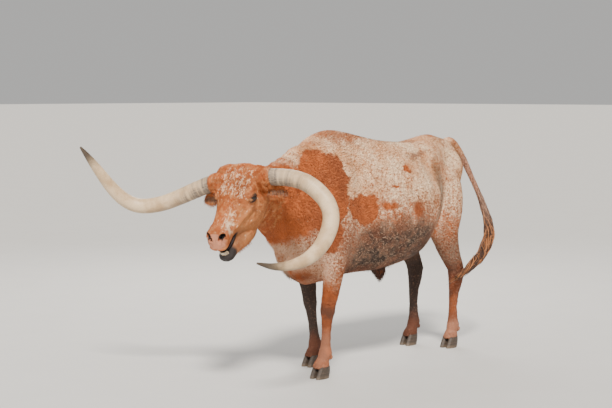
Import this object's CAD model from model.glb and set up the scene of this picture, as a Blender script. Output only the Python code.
"""A life-size longhorn steer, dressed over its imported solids.

The hide is one skin made from the solids of the flesh, with lids, nostrils, lips and folds shaped
into it. Over it lie a short coat of tufts and longer locks, and the horns, eyes, hooves, teeth and
tail hair are pieces of their own. Lengths are in metres, +Z up, and the steer faces -X.
"""

from __future__ import annotations

import logging
import math
from dataclasses import dataclass, field
from enum import Enum
from typing import Callable, Sequence

import bmesh
import bpy
import numpy as np
from bpy.types import Material, NodeSocket, Object
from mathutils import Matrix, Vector

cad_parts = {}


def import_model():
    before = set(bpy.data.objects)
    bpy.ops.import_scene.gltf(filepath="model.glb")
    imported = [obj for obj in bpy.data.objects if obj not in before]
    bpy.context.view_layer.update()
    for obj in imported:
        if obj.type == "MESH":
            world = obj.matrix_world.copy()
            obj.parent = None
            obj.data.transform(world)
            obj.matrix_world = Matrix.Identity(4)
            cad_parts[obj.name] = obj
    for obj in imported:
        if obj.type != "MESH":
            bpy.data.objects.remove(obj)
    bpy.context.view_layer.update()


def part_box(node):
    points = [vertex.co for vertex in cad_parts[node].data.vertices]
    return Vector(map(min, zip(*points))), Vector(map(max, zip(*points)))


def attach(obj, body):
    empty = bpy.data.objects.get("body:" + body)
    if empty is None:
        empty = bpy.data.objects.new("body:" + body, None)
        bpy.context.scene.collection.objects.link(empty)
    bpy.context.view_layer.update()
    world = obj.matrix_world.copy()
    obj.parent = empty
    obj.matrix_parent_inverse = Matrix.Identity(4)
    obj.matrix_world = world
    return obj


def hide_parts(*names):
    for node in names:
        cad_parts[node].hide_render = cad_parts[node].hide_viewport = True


LOG = logging.getLogger("steer")
HEAD_PITCH = math.radians(49.0)
HEAD_TURN = math.radians(9.8)
EYE_IN_HEAD = (0.112, 0.116, -0.008)
EYE_RADIUS = 0.020
HORN_LINE = (-1.148, -0.050, 1.207)
MOUTH_FLOOR = -0.1105
Array = np.ndarray

# Sockets of a Mix node that blends colours, by number, because its other kinds repeat their names
MIX_FACTOR = 0
MIX_FIRST = 6
MIX_SECOND = 7
MIX_RESULT = 2

# Added to a length before dividing by it, so that a length of nothing does no harm
TINY = 1e-12


class Side(Enum):
    """The animal's own left and right, by the sign of y in the row frame."""

    LEFT = -1
    RIGHT = 1


def smoothstep(low: float, high: float, value: Array) -> Array:
    """Eases from 0 at low to 1 at high.

    Args:
        low: where the result is 0.
        high: where the result is 1.
        value: numbers to ease.

    Returns:
        The eased numbers.
    """
    t = np.clip((value - low) / (high - low), 0.0, 1.0)
    return t * t * (3.0 - 2.0 * t)


def bell(offset: Array, size: Sequence[float]) -> Array:
    """A soft bump of height 1 at offset zero.

    Args:
        offset: points measured from the middle of the bump, one per row.
        size: how far the bump reaches along each axis.

    Returns:
        One height per point.
    """
    return np.exp(-np.sum((offset / np.asarray(size)) ** 2, axis=1))


def select_only(*objects: Object) -> None:
    """Deselects everything and selects these objects, the last one active.

    Args:
        objects: what to select.
    """
    bpy.ops.object.select_all(action="DESELECT")
    for item in objects:
        item.select_set(True)
        bpy.context.view_layer.objects.active = item


def apply_modifier(target: Object, kind: str, **settings: object) -> None:
    """Adds one modifier to an object and applies it.

    Args:
        target: the object to change.
        kind: Blender's name of the modifier's type.
        settings: values for the modifier's properties.
    """
    select_only(target)
    modifier = target.modifiers.new(kind.title(), kind)
    for name, value in settings.items():
        setattr(modifier, name, value)
    bpy.ops.object.modifier_apply(modifier=modifier.name)


def new_object(name: str, points: Array, faces: list[tuple[int, ...]]) -> Object:
    """Makes an object at the origin from points and faces.

    Args:
        name: the object's name.
        points: one point per row.
        faces: indices of each face's points.

    Returns:
        The new object, linked to the scene.
    """
    mesh = bpy.data.meshes.new(name)
    mesh.from_pydata([tuple(p) for p in points], [], faces)
    mesh.update()
    made = bpy.data.objects.new(name, mesh)
    bpy.context.scene.collection.objects.link(made)
    return made


def points_of(target: Object) -> Array:
    """The object's vertices, one per row.

    Args:
        target: the object to read.

    Returns:
        Its vertices.
    """
    flat = np.empty(len(target.data.vertices) * 3)
    target.data.vertices.foreach_get("co", flat)
    return flat.reshape(-1, 3)


def normals_of(target: Object) -> Array:
    """The object's vertex normals, one per row.

    Args:
        target: the object to read.

    Returns:
        Its vertex normals.
    """
    flat = np.empty(len(target.data.vertices) * 3)
    target.data.vertices.foreach_get("normal", flat)
    return flat.reshape(-1, 3)


def set_points(target: Object, points: Array) -> None:
    """Writes the object's vertices back, one per row."""
    target.data.vertices.foreach_set("co", points.astype(np.float32).ravel())
    target.data.update()


def copy_node(node: str, grow: float = 0.0) -> Object:
    """Copies a CAD node with its loose triangles merged.

    Args:
        node: the node's name.
        grow: how far to push its surface outwards.

    Returns:
        The copy.
    """
    source = bpy.data.objects[node]
    mesh = source.data.copy()
    made = bpy.data.objects.new(f"{node}_copy", mesh)
    bpy.context.scene.collection.objects.link(made)
    work = bmesh.new()
    work.from_mesh(mesh)
    bmesh.ops.remove_doubles(work, verts=work.verts, dist=2e-5)
    work.to_mesh(mesh)
    work.free()
    mesh.materials.clear()
    if grow:
        set_points(made, points_of(made) + normals_of(made) * grow)
    return made


@dataclass
class Steer:
    """Where the animal's own frame and its head's frame lie in the row frame.

    The head's frame runs x down the face, y to the animal's left and z out of the forehead.
    """

    shift: Array = field(default_factory=lambda: np.zeros(3))
    axes: Array = field(default_factory=lambda: np.eye(3))
    origin: Array = field(default_factory=lambda: np.zeros(3))

    @classmethod
    def measure(cls) -> Steer:
        """Finds both frames from the place of the left eye's node.

        Returns:
            The frames.
        """
        turn, pitch = HEAD_TURN, HEAD_PITCH
        ahead = np.array([-math.cos(turn), -math.sin(turn), 0.0])
        up = np.array([0.0, 0.0, 1.0])
        nose = ahead * math.cos(pitch) - up * math.sin(pitch)
        brow = ahead * math.sin(pitch) + up * math.cos(pitch)
        axes = np.array([nose, np.cross(up, ahead), brow])
        low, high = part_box("eye_left")
        eye = (np.array(low) + np.array(high)) / 2
        origin = eye - np.array(EYE_IN_HEAD) @ axes
        return cls(shift=origin - np.array(HORN_LINE), axes=axes, origin=origin)

    def to_head(self, points: Array) -> Array:
        """Row-frame points in the head's frame."""
        return (points - self.origin) @ self.axes.T

    def from_head(self, points: Array) -> Array:
        """Head-frame points in the row frame."""
        return np.asarray(points) @ self.axes + self.origin

    def to_body(self, points: Array) -> Array:
        """Row-frame points in the animal's own frame."""
        return points - self.shift

    def from_body(self, points: Array) -> Array:
        """Points of the animal's own frame in the row frame."""
        return np.asarray(points) + self.shift


class Value:
    """A shader socket, or a number, that takes part in Python expressions."""

    def __init__(self, nodes: Nodes, socket: NodeSocket | float) -> None:
        """Wraps a socket of one material's nodes."""
        self.nodes = nodes
        self.socket = socket

    def _math(self, operation: str, *inputs: object, clamp: bool = False) -> Value:
        """One Math node on these inputs."""
        return self.nodes.add("ShaderNodeMath", {"operation": operation, "use_clamp": clamp}, list(inputs))

    def __add__(self, other: object) -> Value:
        """The sum."""
        return self._math("ADD", self, other)

    __radd__ = __add__

    def __sub__(self, other: object) -> Value:
        """The difference."""
        return self._math("SUBTRACT", self, other)

    def __rsub__(self, other: object) -> Value:
        """The difference, the other way round."""
        return self._math("SUBTRACT", other, self)

    def __mul__(self, other: object) -> Value:
        """The product."""
        return self._math("MULTIPLY", self, other)

    __rmul__ = __mul__

    def __truediv__(self, other: object) -> Value:
        """The quotient."""
        return self._math("DIVIDE", self, other)

    def clamp(self) -> Value:
        """Held between 0 and 1."""
        return self._math("ADD", self, 0.0, clamp=True)

    def larger(self, other: object) -> Value:
        """The larger of two."""
        return self._math("MAXIMUM", self, other)

    def step(self, low: float, high: float) -> Value:
        """Eased from 0 at low to 1 at high.

        Args:
            low: where the result is 0.
            high: where it is 1.

        Returns:
            The eased value.
        """
        settings = {"interpolation_type": "SMOOTHSTEP"}
        ramp = {"Value": self, "From Min": low, "From Max": high, "To Min": 0.0, "To Max": 1.0}
        if low > high:
            ramp.update({"From Min": high, "From Max": low, "To Min": 1.0, "To Max": 0.0})
        return self.nodes.add("ShaderNodeMapRange", settings, ramp)


class Nodes:
    """The nodes of one material."""

    def __init__(self, name: str) -> None:
        """Starts a material with one Principled shader.

        Args:
            name: the material's name.
        """
        self.material = bpy.data.materials.new(name)
        self.material.use_nodes = True
        self.tree = self.material.node_tree
        self.shader = self.tree.nodes["Principled BSDF"]
        self.place = Value(self, self.tree.nodes.new("ShaderNodeTexCoord").outputs["Object"])

    def add(self, kind: str, settings: dict, inputs: dict | list, output: int | str = 0) -> Value:
        """Adds one node.

        Args:
            kind: the node's type.
            settings: properties of the node, set before its sockets.
            inputs: values or links of its sockets, by name or in order.
            output: the output socket to return.

        Returns:
            That output.
        """
        node = self.tree.nodes.new(kind)
        for name, value in settings.items():
            setattr(node, name, value)
        pairs = inputs.items() if isinstance(inputs, dict) else enumerate(inputs)
        for key, value in pairs:
            self.feed(node.inputs[key], value)
        return Value(self, node.outputs[output])

    def feed(self, socket: NodeSocket, value: object) -> None:
        """Links a value to a socket, or sets a plain number or colour there.

        Args:
            socket: the input socket.
            value: what it gets.
        """
        if isinstance(value, Value):
            self.tree.links.new(value.socket, socket)
        elif isinstance(value, (tuple, list)) and len(value) == 3 and socket.type == "RGBA":
            socket.default_value = (*value, 1.0)
        else:
            socket.default_value = value

    def axis(self, vector: Value, index: int) -> Value:
        """One part of a vector."""
        return self.add("ShaderNodeSeparateXYZ", {}, [vector], index)

    def vector(self, operation: str, *inputs: object) -> Value:
        """One Vector Math node."""
        output = 1 if operation in ("LENGTH", "DOT_PRODUCT", "DISTANCE") else 0
        return self.add("ShaderNodeVectorMath", {"operation": operation}, list(inputs), output)

    def noise(self, vector: Value, scale: float, detail: float = 3.0, rough: float = 0.5) -> Value:
        """Soft noise from about 0 to 1."""
        inputs = {"Vector": vector, "Scale": scale, "Detail": detail, "Roughness": rough}
        return self.add("ShaderNodeTexNoise", {}, inputs)

    def noise_vector(self, vector: Value, scale: float, detail: float = 2.0) -> Value:
        """Noise with a different value along each axis, about 0.5."""
        inputs = {"Vector": vector, "Scale": scale, "Detail": detail}
        return self.add("ShaderNodeTexNoise", {}, inputs, "Color")

    def mix(self, factor: object, first: object, second: object) -> Value:
        """A colour between two.

        Args:
            factor: share of the second colour.
            first: one colour.
            second: the other.

        Returns:
            The mixed colour.
        """
        settings = {"data_type": "RGBA", "clamp_factor": True}
        inputs = {MIX_FACTOR: factor, MIX_FIRST: first, MIX_SECOND: second}
        return self.add("ShaderNodeMix", settings, inputs, MIX_RESULT)

    def tint(self, colour: Value, strength: Value) -> Value:
        """A colour made lighter or darker by a number about 1."""
        return self.vector("SCALE", colour, (0.0, 0.0, 0.0), (0.0, 0.0, 0.0), strength)

    def bump(self, height: Value, distance: float, strength: float = 1.0) -> None:
        """Feeds a bump from a height to the shader's normal.

        Args:
            height: how high each place stands.
            distance: the height of 1, in metres.
            strength: share of the bump that shows.
        """
        inputs = {"Height": height, "Distance": distance, "Strength": strength}
        normal = self.add("ShaderNodeBump", {}, inputs)
        self.feed(self.shader.inputs["Normal"], normal)

    def finish(self, **sockets: object) -> Material:
        """Feeds the shader's sockets.

        Args:
            sockets: values by the socket's name, with _ for a space.

        Returns:
            The material.
        """
        for name, value in sockets.items():
            self.feed(self.shader.inputs[name.replace("_", " ")], value)
        return self.material


@dataclass(frozen=True)
class Hide:
    """The short coat's colours and where each lies, in the animal's own frame.

    Skin and tufts share it, so that the markings run on from one to the other.
    """

    red: tuple[float, float, float] = (0.45, 0.110, 0.022)
    deep_red: tuple[float, float, float] = (0.20, 0.050, 0.015)
    white: tuple[float, float, float] = (0.92, 0.70, 0.47)
    peach: tuple[float, float, float] = (0.63, 0.27, 0.095)
    pink: tuple[float, float, float] = (0.50, 0.27, 0.18)
    dark: tuple[float, float, float] = (0.050, 0.029, 0.021)
    pad: tuple[float, float, float] = (0.54, 0.215, 0.115)
    mouth: tuple[float, float, float] = (0.014, 0.008, 0.007)

    # Solid red patches of the trunk and neck: centre, reach along each axis, softness of the edge
    red_patches: tuple = (
        ((-0.62, -0.2, 1.13), (0.17, 0.3, 0.26), 0.05),
        ((-0.86, 0.0, 1.06), (0.27, 0.5, 0.25), 0.10),
        ((-1.10, 0.0, 1.00), (0.26, 0.5, 0.28), 0.10),
        ((-0.58, -0.25, 0.92), (0.052, 0.2, 0.15), 0.12),
        ((-0.35, -0.3, 1.01), (0.125, 0.2, 0.105), 0.07),
        ((-0.07, -0.3, 1.13), (0.028, 0.2, 0.013), 0.3),
        ((0.07, -0.3, 1.245), (0.040, 0.2, 0.024), 0.4),
        ((0.09, -0.3, 0.97), (0.050, 0.2, 0.055), 0.5),
        ((-0.15, -0.3, 1.02), (0.070, 0.2, 0.035), 0.5),
        ((-0.50, 0.25, 1.06), (0.24, 0.2, 0.26), 0.06),
        ((0.00, 0.3, 1.12), (0.17, 0.15, 0.12), 0.10),
        ((0.50, 0.3, 1.14), (0.11, 0.15, 0.14), 0.20),
        ((-0.31, 0.3, 0.96), (0.15, 0.2, 0.08), 0.12),
        ((0.14, 0.3, 1.03), (0.09, 0.15, 0.07), 0.15),
        ((0.40, 0.3, 1.00), (0.06, 0.15, 0.15), 0.25),
        ((-0.16, 0.3, 1.27), (0.05, 0.15, 0.035), 0.3),
    )

    def blob(self, nodes: Nodes, place: Value, centre: tuple, reach: tuple, soft: float) -> Value:
        """A patch that is 1 inside an ellipsoid and fades over its edge.

        Args:
            nodes: the material's nodes.
            place: the point to judge.
            centre: the patch's middle.
            reach: how far it goes along each axis.
            soft: width of its fading edge, over its reach.

        Returns:
            1 inside the patch and 0 outside it.
        """
        away = nodes.vector("SUBTRACT", place, centre)
        distance = nodes.vector("LENGTH", nodes.vector("DIVIDE", away, reach))
        return distance.step(1.0 + soft, 1.0 - soft)

    def colour(self, nodes: Nodes, steer: Steer) -> tuple[Value, Value]:
        """Builds the coat's colour.

        Args:
            nodes: the material's nodes.
            steer: the animal's frames.

        Returns:
            The colour, and a number that is 1 on bare wet skin.
        """
        body = nodes.vector("SUBTRACT", nodes.place, tuple(float(v) for v in steer.shift))
        broad = nodes.vector("SUBTRACT", nodes.noise_vector(body, 5.5, 4.0), (0.5, 0.5, 0.5))
        fine = nodes.vector("SUBTRACT", nodes.noise_vector(body, 40.0, 3.0), (0.5, 0.5, 0.5))
        warped = nodes.vector("ADD", body, nodes.vector("MULTIPLY", broad, (0.17, 0.17, 0.17)))
        warped = nodes.vector("ADD", warped, nodes.vector("MULTIPLY", fine, (0.05, 0.05, 0.05)))
        x, z = (nodes.axis(warped, index) for index in (0, 2))

        red = None
        for centre, reach, soft in self.red_patches:
            patch = self.blob(nodes, warped, centre, reach, soft)
            red = patch if red is None else red.larger(patch)
        fleck = self.flecks(nodes, body)
        cloud = nodes.noise(body, 6.5, 4.0, 0.6)
        reds = nodes.mix(nodes.noise(body, 3.2, 4.0).step(0.42, 0.68) * 0.6, self.red, self.deep_red)

        share = (0.16 + cloud * 0.42 + self.roan_zones(x, z)).clamp()
        roan = (fleck + share - 1.0).step(-0.16, 0.16)
        pale = nodes.mix((cloud - 0.42).step(0.0, 0.22) * 0.55, self.white, self.peach)
        low = z.step(1.05, 0.82)
        pale = nodes.mix(low * 0.6, pale, self.pink)
        flank = nodes.mix(roan * 0.92, pale, reds)
        tinge = nodes.noise(body, 2.6, 4.0, 0.6).step(0.44, 0.62)
        flank = nodes.mix(tinge * z.step(0.95, 1.10) * 0.45, flank, self.peach)
        flank = nodes.mix((z - 1.37).step(0.0, 0.07) * 0.70 * cloud.step(0.3, 0.55), flank, reds)
        loin = self.blob(nodes, warped, (0.28, -0.25, 1.305), (0.11, 0.15, 0.022), 0.5)
        flank = nodes.mix(loin * 0.65, flank, self.deep_red)

        scatter = (fleck - 0.80).step(0.0, 0.12) * red * z.step(0.75, 1.2)
        colour = nodes.mix(red - scatter * 0.6, flank, reds)

        belly = self.belly(nodes, body, x, z)
        stipple = (fleck - 0.62).step(-0.10, 0.16)
        grey = nodes.mix(stipple * 0.75, self.dark, nodes.mix(0.5, self.pink, self.white))
        grey = nodes.mix(cloud.step(0.45, 0.7) * 0.5, grey, self.deep_red)
        colour = nodes.mix(belly * (1.0 - red * 0.85), colour, grey)
        crease = self.blob(nodes, warped, (0.43, -0.25, 1.08), (0.035, 0.2, 0.19), 0.6)
        colour = nodes.mix(crease * 0.55, colour, self.dark)
        colour = self.legs(nodes, body, colour, reds, fleck)
        return self.face(nodes, steer, colour, reds)

    def flecks(self, nodes: Nodes, body: Value) -> Value:
        """Small ragged flecks, drawn out a little along the lie of the coat.

        Args:
            nodes: the material's nodes.
            body: the place in the animal's own frame.

        Returns:
            The flecks, about 0.5.
        """
        drawn = nodes.vector("MULTIPLY", body, (0.70, 1.0, 0.95))
        coarse = nodes.noise(drawn, 75.0, 4.0, 0.62)
        small = nodes.noise(drawn, 190.0, 3.0, 0.6)
        return ((coarse * 0.55 + small * 0.45) - 0.5) * 2.3 + 0.5

    def roan_zones(self, x: Value, z: Value) -> Value:
        """How much red is flecked into the white, by place on the trunk.

        Args:
            x: place along the body.
            z: height.

        Returns:
            A number to add to the share of red.
        """
        low = z.step(1.16, 0.96) * 0.20
        thigh = x.step(0.30, 0.42) * (0.05 - z.step(1.16, 0.96) * 0.10)
        chest = x.step(-0.50, -0.62) * z.step(0.86, 0.76) * -0.20
        neck = x.step(-0.66, -0.80) * z.step(1.20, 1.34) * 0.14
        return low + thigh + chest + neck

    def belly(self, nodes: Nodes, body: Value, x: Value, z: Value) -> Value:
        """The dark lower flank, from behind the elbow to the stifle.

        Args:
            nodes: the material's nodes.
            body: the place in the animal's own frame.
            x: place along the body, made ragged.
            z: height, made ragged.

        Returns:
            How dark the flank is.
        """
        ragged = nodes.noise(body, 16.0, 4.0, 0.65)
        height = z + (ragged - 0.5) * 0.20
        reach = x.step(-0.55, -0.30) * x.step(0.42, 0.20)
        return reach * height.step(0.96, 0.84) * (0.62 + 0.38 * ragged.step(0.30, 0.60))

    def legs(self, nodes: Nodes, body: Value, colour: Value, reds: Value, fleck: Value) -> Value:
        """Colours the legs: the near fore and hind red below, the far ones dark.

        Args:
            nodes: the material's nodes.
            body: the place in the animal's own frame.
            colour: the trunk's colour.
            reds: the coat's red.
            fleck: the coat's flecks.

        Returns:
            The colour with the legs and the tail's stem.
        """
        x, y, z = (nodes.axis(body, index) for index in range(3))
        patchy = nodes.noise(body, 13.0, 4.0, 0.6)
        height = z + (patchy - 0.5) * 0.14
        right = y.step(-0.02, 0.02)
        hind = x.step(0.15, 0.25)
        tail = x.step(0.84, 0.92)

        near_fore = nodes.mix((patchy - 0.45).step(-0.05, 0.10) * 0.55, reds, self.deep_red)
        front = (x + 0.64 + (patchy - 0.5) * 0.10).step(0.05, -0.03)
        behind = height.step(0.50, 0.60) * (1.0 - front)
        near_fore = nodes.mix(behind * 0.8, near_fore, colour)
        knee = (height - 0.40).step(-0.06, -0.01) * (height - 0.40).step(0.06, 0.01)
        near_fore = nodes.mix(knee * 0.6, near_fore, self.dark)
        near_fore = nodes.mix(height.step(0.34, 0.22) * 0.35, near_fore, self.pink)
        near_hind = nodes.mix((patchy - 0.5).step(-0.10, 0.08) * 0.5, self.deep_red, self.dark)
        near_hind = nodes.mix(height.step(0.42, 0.30) * 0.45, near_hind, reds)
        near_hind = nodes.mix(height.step(0.24, 0.14) * 0.4, near_hind, self.pink)
        near_hind = nodes.mix((fleck - 0.62).step(-0.06, 0.1) * 0.35, near_hind, self.pink)
        grey_hock = height.step(0.86, 0.66) * hind
        near = nodes.mix(hind, near_fore, near_hind)
        near_below = height.step(0.66, 0.60) * (1.0 - hind) + height.step(0.66, 0.50) * hind

        far = nodes.mix((fleck - 0.66).step(-0.06, 0.1) * 0.30, self.dark, self.pink)
        far = nodes.mix(height.step(0.24, 0.14) * 0.5, far, self.deep_red)
        far_below = height.step(0.74, 0.52)
        colour = nodes.mix(grey_hock * 0.60 * (1.0 - tail), colour, self.dark)
        colour = nodes.mix(right * far_below * (1.0 - tail), colour, far)
        colour = nodes.mix((1.0 - right) * near_below * (1.0 - tail), colour, near)
        stem = nodes.mix((fleck - 0.5).step(-0.12, 0.14) * 0.5, self.pink, self.deep_red)
        stem = nodes.mix(z.step(1.10, 0.90) * 0.45, stem, self.dark)
        return nodes.mix(tail * z.step(1.34, 1.22), colour, stem)

    def face(self, nodes: Nodes, steer: Steer, colour: Value, reds: Value) -> tuple[Value, Value]:
        """Colours the head: flecked forehead, pale muzzle, bare pad, lids and dark mouth.

        Args:
            nodes: the material's nodes.
            steer: the animal's frames.
            colour: the body's colour.
            reds: the coat's red.

        Returns:
            The colour, and a number that is 1 on bare wet skin.
        """
        away = nodes.vector("SUBTRACT", nodes.place, tuple(float(v) for v in steer.origin))
        axes = [tuple(float(v) for v in row) for row in steer.axes]
        x, y, z = (nodes.vector("DOT_PRODUCT", away, axis) for axis in axes)
        head = nodes.add("ShaderNodeCombineXYZ", {}, [x, y, z])
        ragged = nodes.noise(head, 34.0, 4.0, 0.6)
        inside = self.blob(nodes, head, (0.16, 0.0, -0.09), (0.37, 0.26, 0.27), 0.05)
        drawn = nodes.vector("MULTIPLY", head, (0.55, 1.0, 1.0))
        dashes = nodes.noise(drawn, 130.0, 3.0, 0.6) * 0.6 + nodes.noise(drawn, 48.0, 3.0) * 0.4
        dashes = (dashes - 0.5) * 2.6 + 0.5
        wide = y * y
        forehead = x.step(-0.08, 0.0) * x.step(0.19, 0.10) * (wide * 70.0).step(1.1, 0.3)
        forehead = forehead * z.step(-0.08, -0.02)
        bridge = self.blob(nodes, head, (0.27, 0.045, 0.0), (0.13, 0.035, 0.05), 0.6)
        star = self.blob(nodes, head, (0.325, 0.056, -0.012), (0.042, 0.020, 0.026), 0.35)
        share = (forehead * 0.27 + bridge * 0.28 + ragged * 0.36 + 0.02).clamp()
        speckle = (dashes + share - 1.0).step(-0.03, 0.12)
        warm = nodes.mix(ragged.step(0.42, 0.62) * 0.60, reds, self.peach)
        cheek = self.blob(nodes, head, (0.22, 0.10, -0.12), (0.15, 0.08, 0.12), 0.5)
        warm = nodes.mix(cheek * 0.60, warm, self.peach)
        face = nodes.mix(speckle * 0.70, warm, self.white)
        face = nodes.mix(star * ragged.step(0.38, 0.55), face, self.white)
        around = self.blob(nodes, head, (0.365, 0.0, -0.02), (0.06, 0.12, 0.07), 0.6)
        face = nodes.mix(around * 0.35, face, self.deep_red)
        under = self.blob(nodes, head, (0.33, 0.0, -0.125), (0.14, 0.09, 0.05), 0.35)
        face = nodes.mix(under * 0.45, face, self.dark)
        colour = nodes.mix(inside, colour, face)

        pad = self.blob(nodes, head, (0.412, 0.0, -0.024), (0.050, 0.066, 0.042), 0.12)
        mottled = nodes.mix(nodes.noise(head, 45.0, 3.0).step(0.52, 0.72) * 0.45, self.pad, self.deep_red)
        colour = nodes.mix(pad, colour, mottled)
        lips = self.blob(nodes, head, (0.425, 0.0, -0.084), (0.050, 0.080, 0.018), 0.2)
        chin = self.blob(nodes, head, (0.425, 0.016, -0.135), (0.065, 0.074, 0.042), 0.2)
        colour = nodes.mix(lips * 0.92, colour, self.mouth)
        colour = nodes.mix(chin, colour, self.mouth)
        gap = self.blob(nodes, head, (0.365, 0.004, -0.102), (0.11, 0.060, 0.020), 0.15)
        colour = nodes.mix(gap, colour, self.mouth)
        wet = pad.larger(lips).larger(chin).larger(gap)
        for side in Side:
            sign = -side.value
            hole = self.blob(nodes, head, (0.390, sign * 0.038, -0.006), (0.026, 0.017, 0.015), 0.25)
            slot = self.blob(nodes, head, (0.380, sign * 0.052, -0.001), (0.022, 0.013, 0.012), 0.25)
            deep = self.blob(nodes, head, (0.372, sign * 0.034, -0.018), (0.030, 0.022, 0.018), 0.25)
            colour = nodes.mix(hole.larger(slot).larger(deep), colour, self.mouth)
            eye = (EYE_IN_HEAD[0] + 0.004, sign * (EYE_IN_HEAD[1] + 0.008), EYE_IN_HEAD[2] + 0.003)
            rim = self.blob(nodes, head, eye, (0.034, 0.026, 0.0205), 0.22)
            colour = nodes.mix(rim * 0.94, colour, self.mouth)
            below = self.blob(nodes, head, (0.150, sign * 0.125, -0.050), (0.018, 0.03, 0.040), 0.6)
            colour = nodes.mix(below * 0.50, colour, self.deep_red)
            inner = self.blob(nodes, head, (0.140, sign * 0.120, 0.004), (0.016, 0.02, 0.008), 0.4)
            colour = nodes.mix(inner * 0.5, colour, self.peach)
            wet = wet.larger(rim * 0.6)
        return colour, wet


@dataclass(frozen=True)
class Finish:
    """A plain procedural finish of one matter: horn, hoof, eye, tooth or hair."""

    name: str
    build: Callable[[Nodes], Material]

    def material(self) -> Material:
        """The finish as a material."""
        return self.build(Nodes(self.name))


def hide_skin(hide: Hide, steer: Steer) -> Material:
    """The skin under the coat, with short flat hair as fine streaks of bump.

    Args:
        hide: the coat's colours.
        steer: the animal's frames.

    Returns:
        The material.
    """
    nodes = Nodes("hide skin")
    colour, wet = hide.colour(nodes, steer)
    dry = 1.0 - wet
    streak = nodes.vector("MULTIPLY", nodes.place, (0.35, 1.0, 0.55))
    hairs = nodes.noise(streak, 900.0, 3.0, 0.6)
    clumps = nodes.noise(streak, 210.0, 3.0, 0.55)
    grain = nodes.add("ShaderNodeTexVoronoi", {}, {"Vector": nodes.place, "Scale": 620.0})
    pebbles = grain * wet
    shade = 0.72 + 0.34 * hairs + 0.24 * clumps
    nodes.bump((hairs * 0.55 + clumps * 0.9) * dry + pebbles * 0.8, 0.0016, 0.75)
    rough = (0.86 - 0.12 * clumps) * dry + (0.55 + 0.2 * pebbles) * wet
    return nodes.finish(Base_Color=nodes.tint(colour, shade), Roughness=rough, Coat_Weight=wet * 0.06)


def hide_tufts(hide: Hide, steer: Steer) -> Material:
    """The short coat's tufts, coloured by the place they stand on.

    Args:
        hide: the coat's colours.
        steer: the animal's frames.

    Returns:
        The material.
    """
    nodes = Nodes("hide tufts")
    colour, _ = hide.colour(nodes, steer)
    strands = nodes.noise(nodes.place, 420.0, 3.0, 0.6)
    sheen = nodes.noise(nodes.place, 60.0, 3.0)
    shade = 0.84 + 0.42 * strands + 0.16 * sheen
    nodes.bump(strands, 0.0012, 0.6)
    return nodes.finish(Base_Color=nodes.tint(colour, shade), Roughness=0.80 - 0.14 * sheen)


def build_horn(nodes: Nodes) -> Material:
    """Cream horn: grey growth rings at the base, streaks along it and a dark tip.

    Args:
        nodes: the material's nodes.

    Returns:
        The material.
    """
    along = nodes.add("ShaderNodeAttribute", {"attribute_name": "along"}, {}, "Fac")
    around = nodes.add("ShaderNodeAttribute", {"attribute_name": "around"}, {}, "Vector")
    stretched = nodes.vector("MULTIPLY", around, (14.0, 14.0, 14.0))
    lengthwise = nodes.add("ShaderNodeCombineXYZ", {}, [along * 3.0, 0.0, 0.0])
    streaks = nodes.noise(nodes.vector("ADD", stretched, lengthwise), 1.6, 4.0, 0.6)
    cloud = nodes.noise(nodes.place, 9.0, 4.0, 0.6)
    rings_place = nodes.add("ShaderNodeCombineXYZ", {}, [along * 46.0 + cloud * 1.2, 0.0, 0.0])
    rings = nodes.noise(rings_place, 1.0, 4.0, 0.65)
    fine = nodes.noise(nodes.place, 180.0, 3.0)
    base = along.step(0.40, 0.02)
    cream = nodes.mix(cloud.step(0.35, 0.7), (0.78, 0.58, 0.36), (0.52, 0.34, 0.18))
    grey = nodes.mix(streaks.step(0.35, 0.65), (0.065, 0.050, 0.040), (0.42, 0.32, 0.23))
    blotch = (along + (cloud - 0.5) * 0.22).step(0.17, 0.02) * streaks.step(0.28, 0.50)
    under = nodes.axis(around, 2).step(0.35, -0.55) * along.step(0.42, 0.10)
    collar = (blotch + under * rings.step(0.38, 0.55) * 0.8).clamp()
    colour = nodes.mix((base * (0.15 + rings.step(0.44, 0.62)) * 0.8 + collar).clamp(), cream, grey)
    colour = nodes.mix(streaks.step(0.56, 0.72) * 0.35, colour, (0.20, 0.14, 0.10))
    low = nodes.axis(around, 2).step(-0.35, -0.95)
    colour = nodes.mix(low * 0.35, colour, (0.16, 0.11, 0.08))
    tip = (along + (cloud - 0.5) * 0.10).step(0.83, 0.95)
    colour = nodes.mix(tip * 0.92, colour, (0.030, 0.021, 0.017))
    nodes.bump(rings * base * 1.6 + streaks * 0.35 + fine * 0.10, 0.0024, 0.7)
    shade = 0.84 + 0.30 * fine
    return nodes.finish(Base_Color=nodes.tint(colour, shade), Roughness=0.36 + 0.22 * streaks + 0.1 * base)


def build_hoof(nodes: Nodes) -> Material:
    """Dark hoof horn with level growth rings and earthy soles.

    Args:
        nodes: the material's nodes.

    Returns:
        The material.
    """
    high = nodes.axis(nodes.place, 2)
    drift = nodes.noise(nodes.place, 16.0, 3.0)
    rings_place = nodes.add("ShaderNodeCombineXYZ", {}, [0.0, 0.0, high * 210.0 + drift * 3.0])
    rings = nodes.noise(rings_place, 1.0, 2.0)
    upright = nodes.vector("MULTIPLY", nodes.place, (1.0, 1.0, 0.08))
    fibres = nodes.noise(upright, 420.0, 3.0, 0.6)
    earth = high.step(0.030, 0.0) * drift.step(0.25, 0.6)
    colour = nodes.mix(rings.step(0.35, 0.7), (0.028, 0.021, 0.017), (0.10, 0.070, 0.050))
    colour = nodes.mix(fibres.step(0.5, 0.75) * 0.5, colour, (0.17, 0.12, 0.085))
    colour = nodes.mix(earth * 0.5, colour, (0.24, 0.17, 0.11))
    nodes.bump(rings * 1.2 + fibres * 0.4, 0.0014, 0.8)
    return nodes.finish(Base_Color=colour, Roughness=0.42 + 0.3 * fibres)


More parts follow.
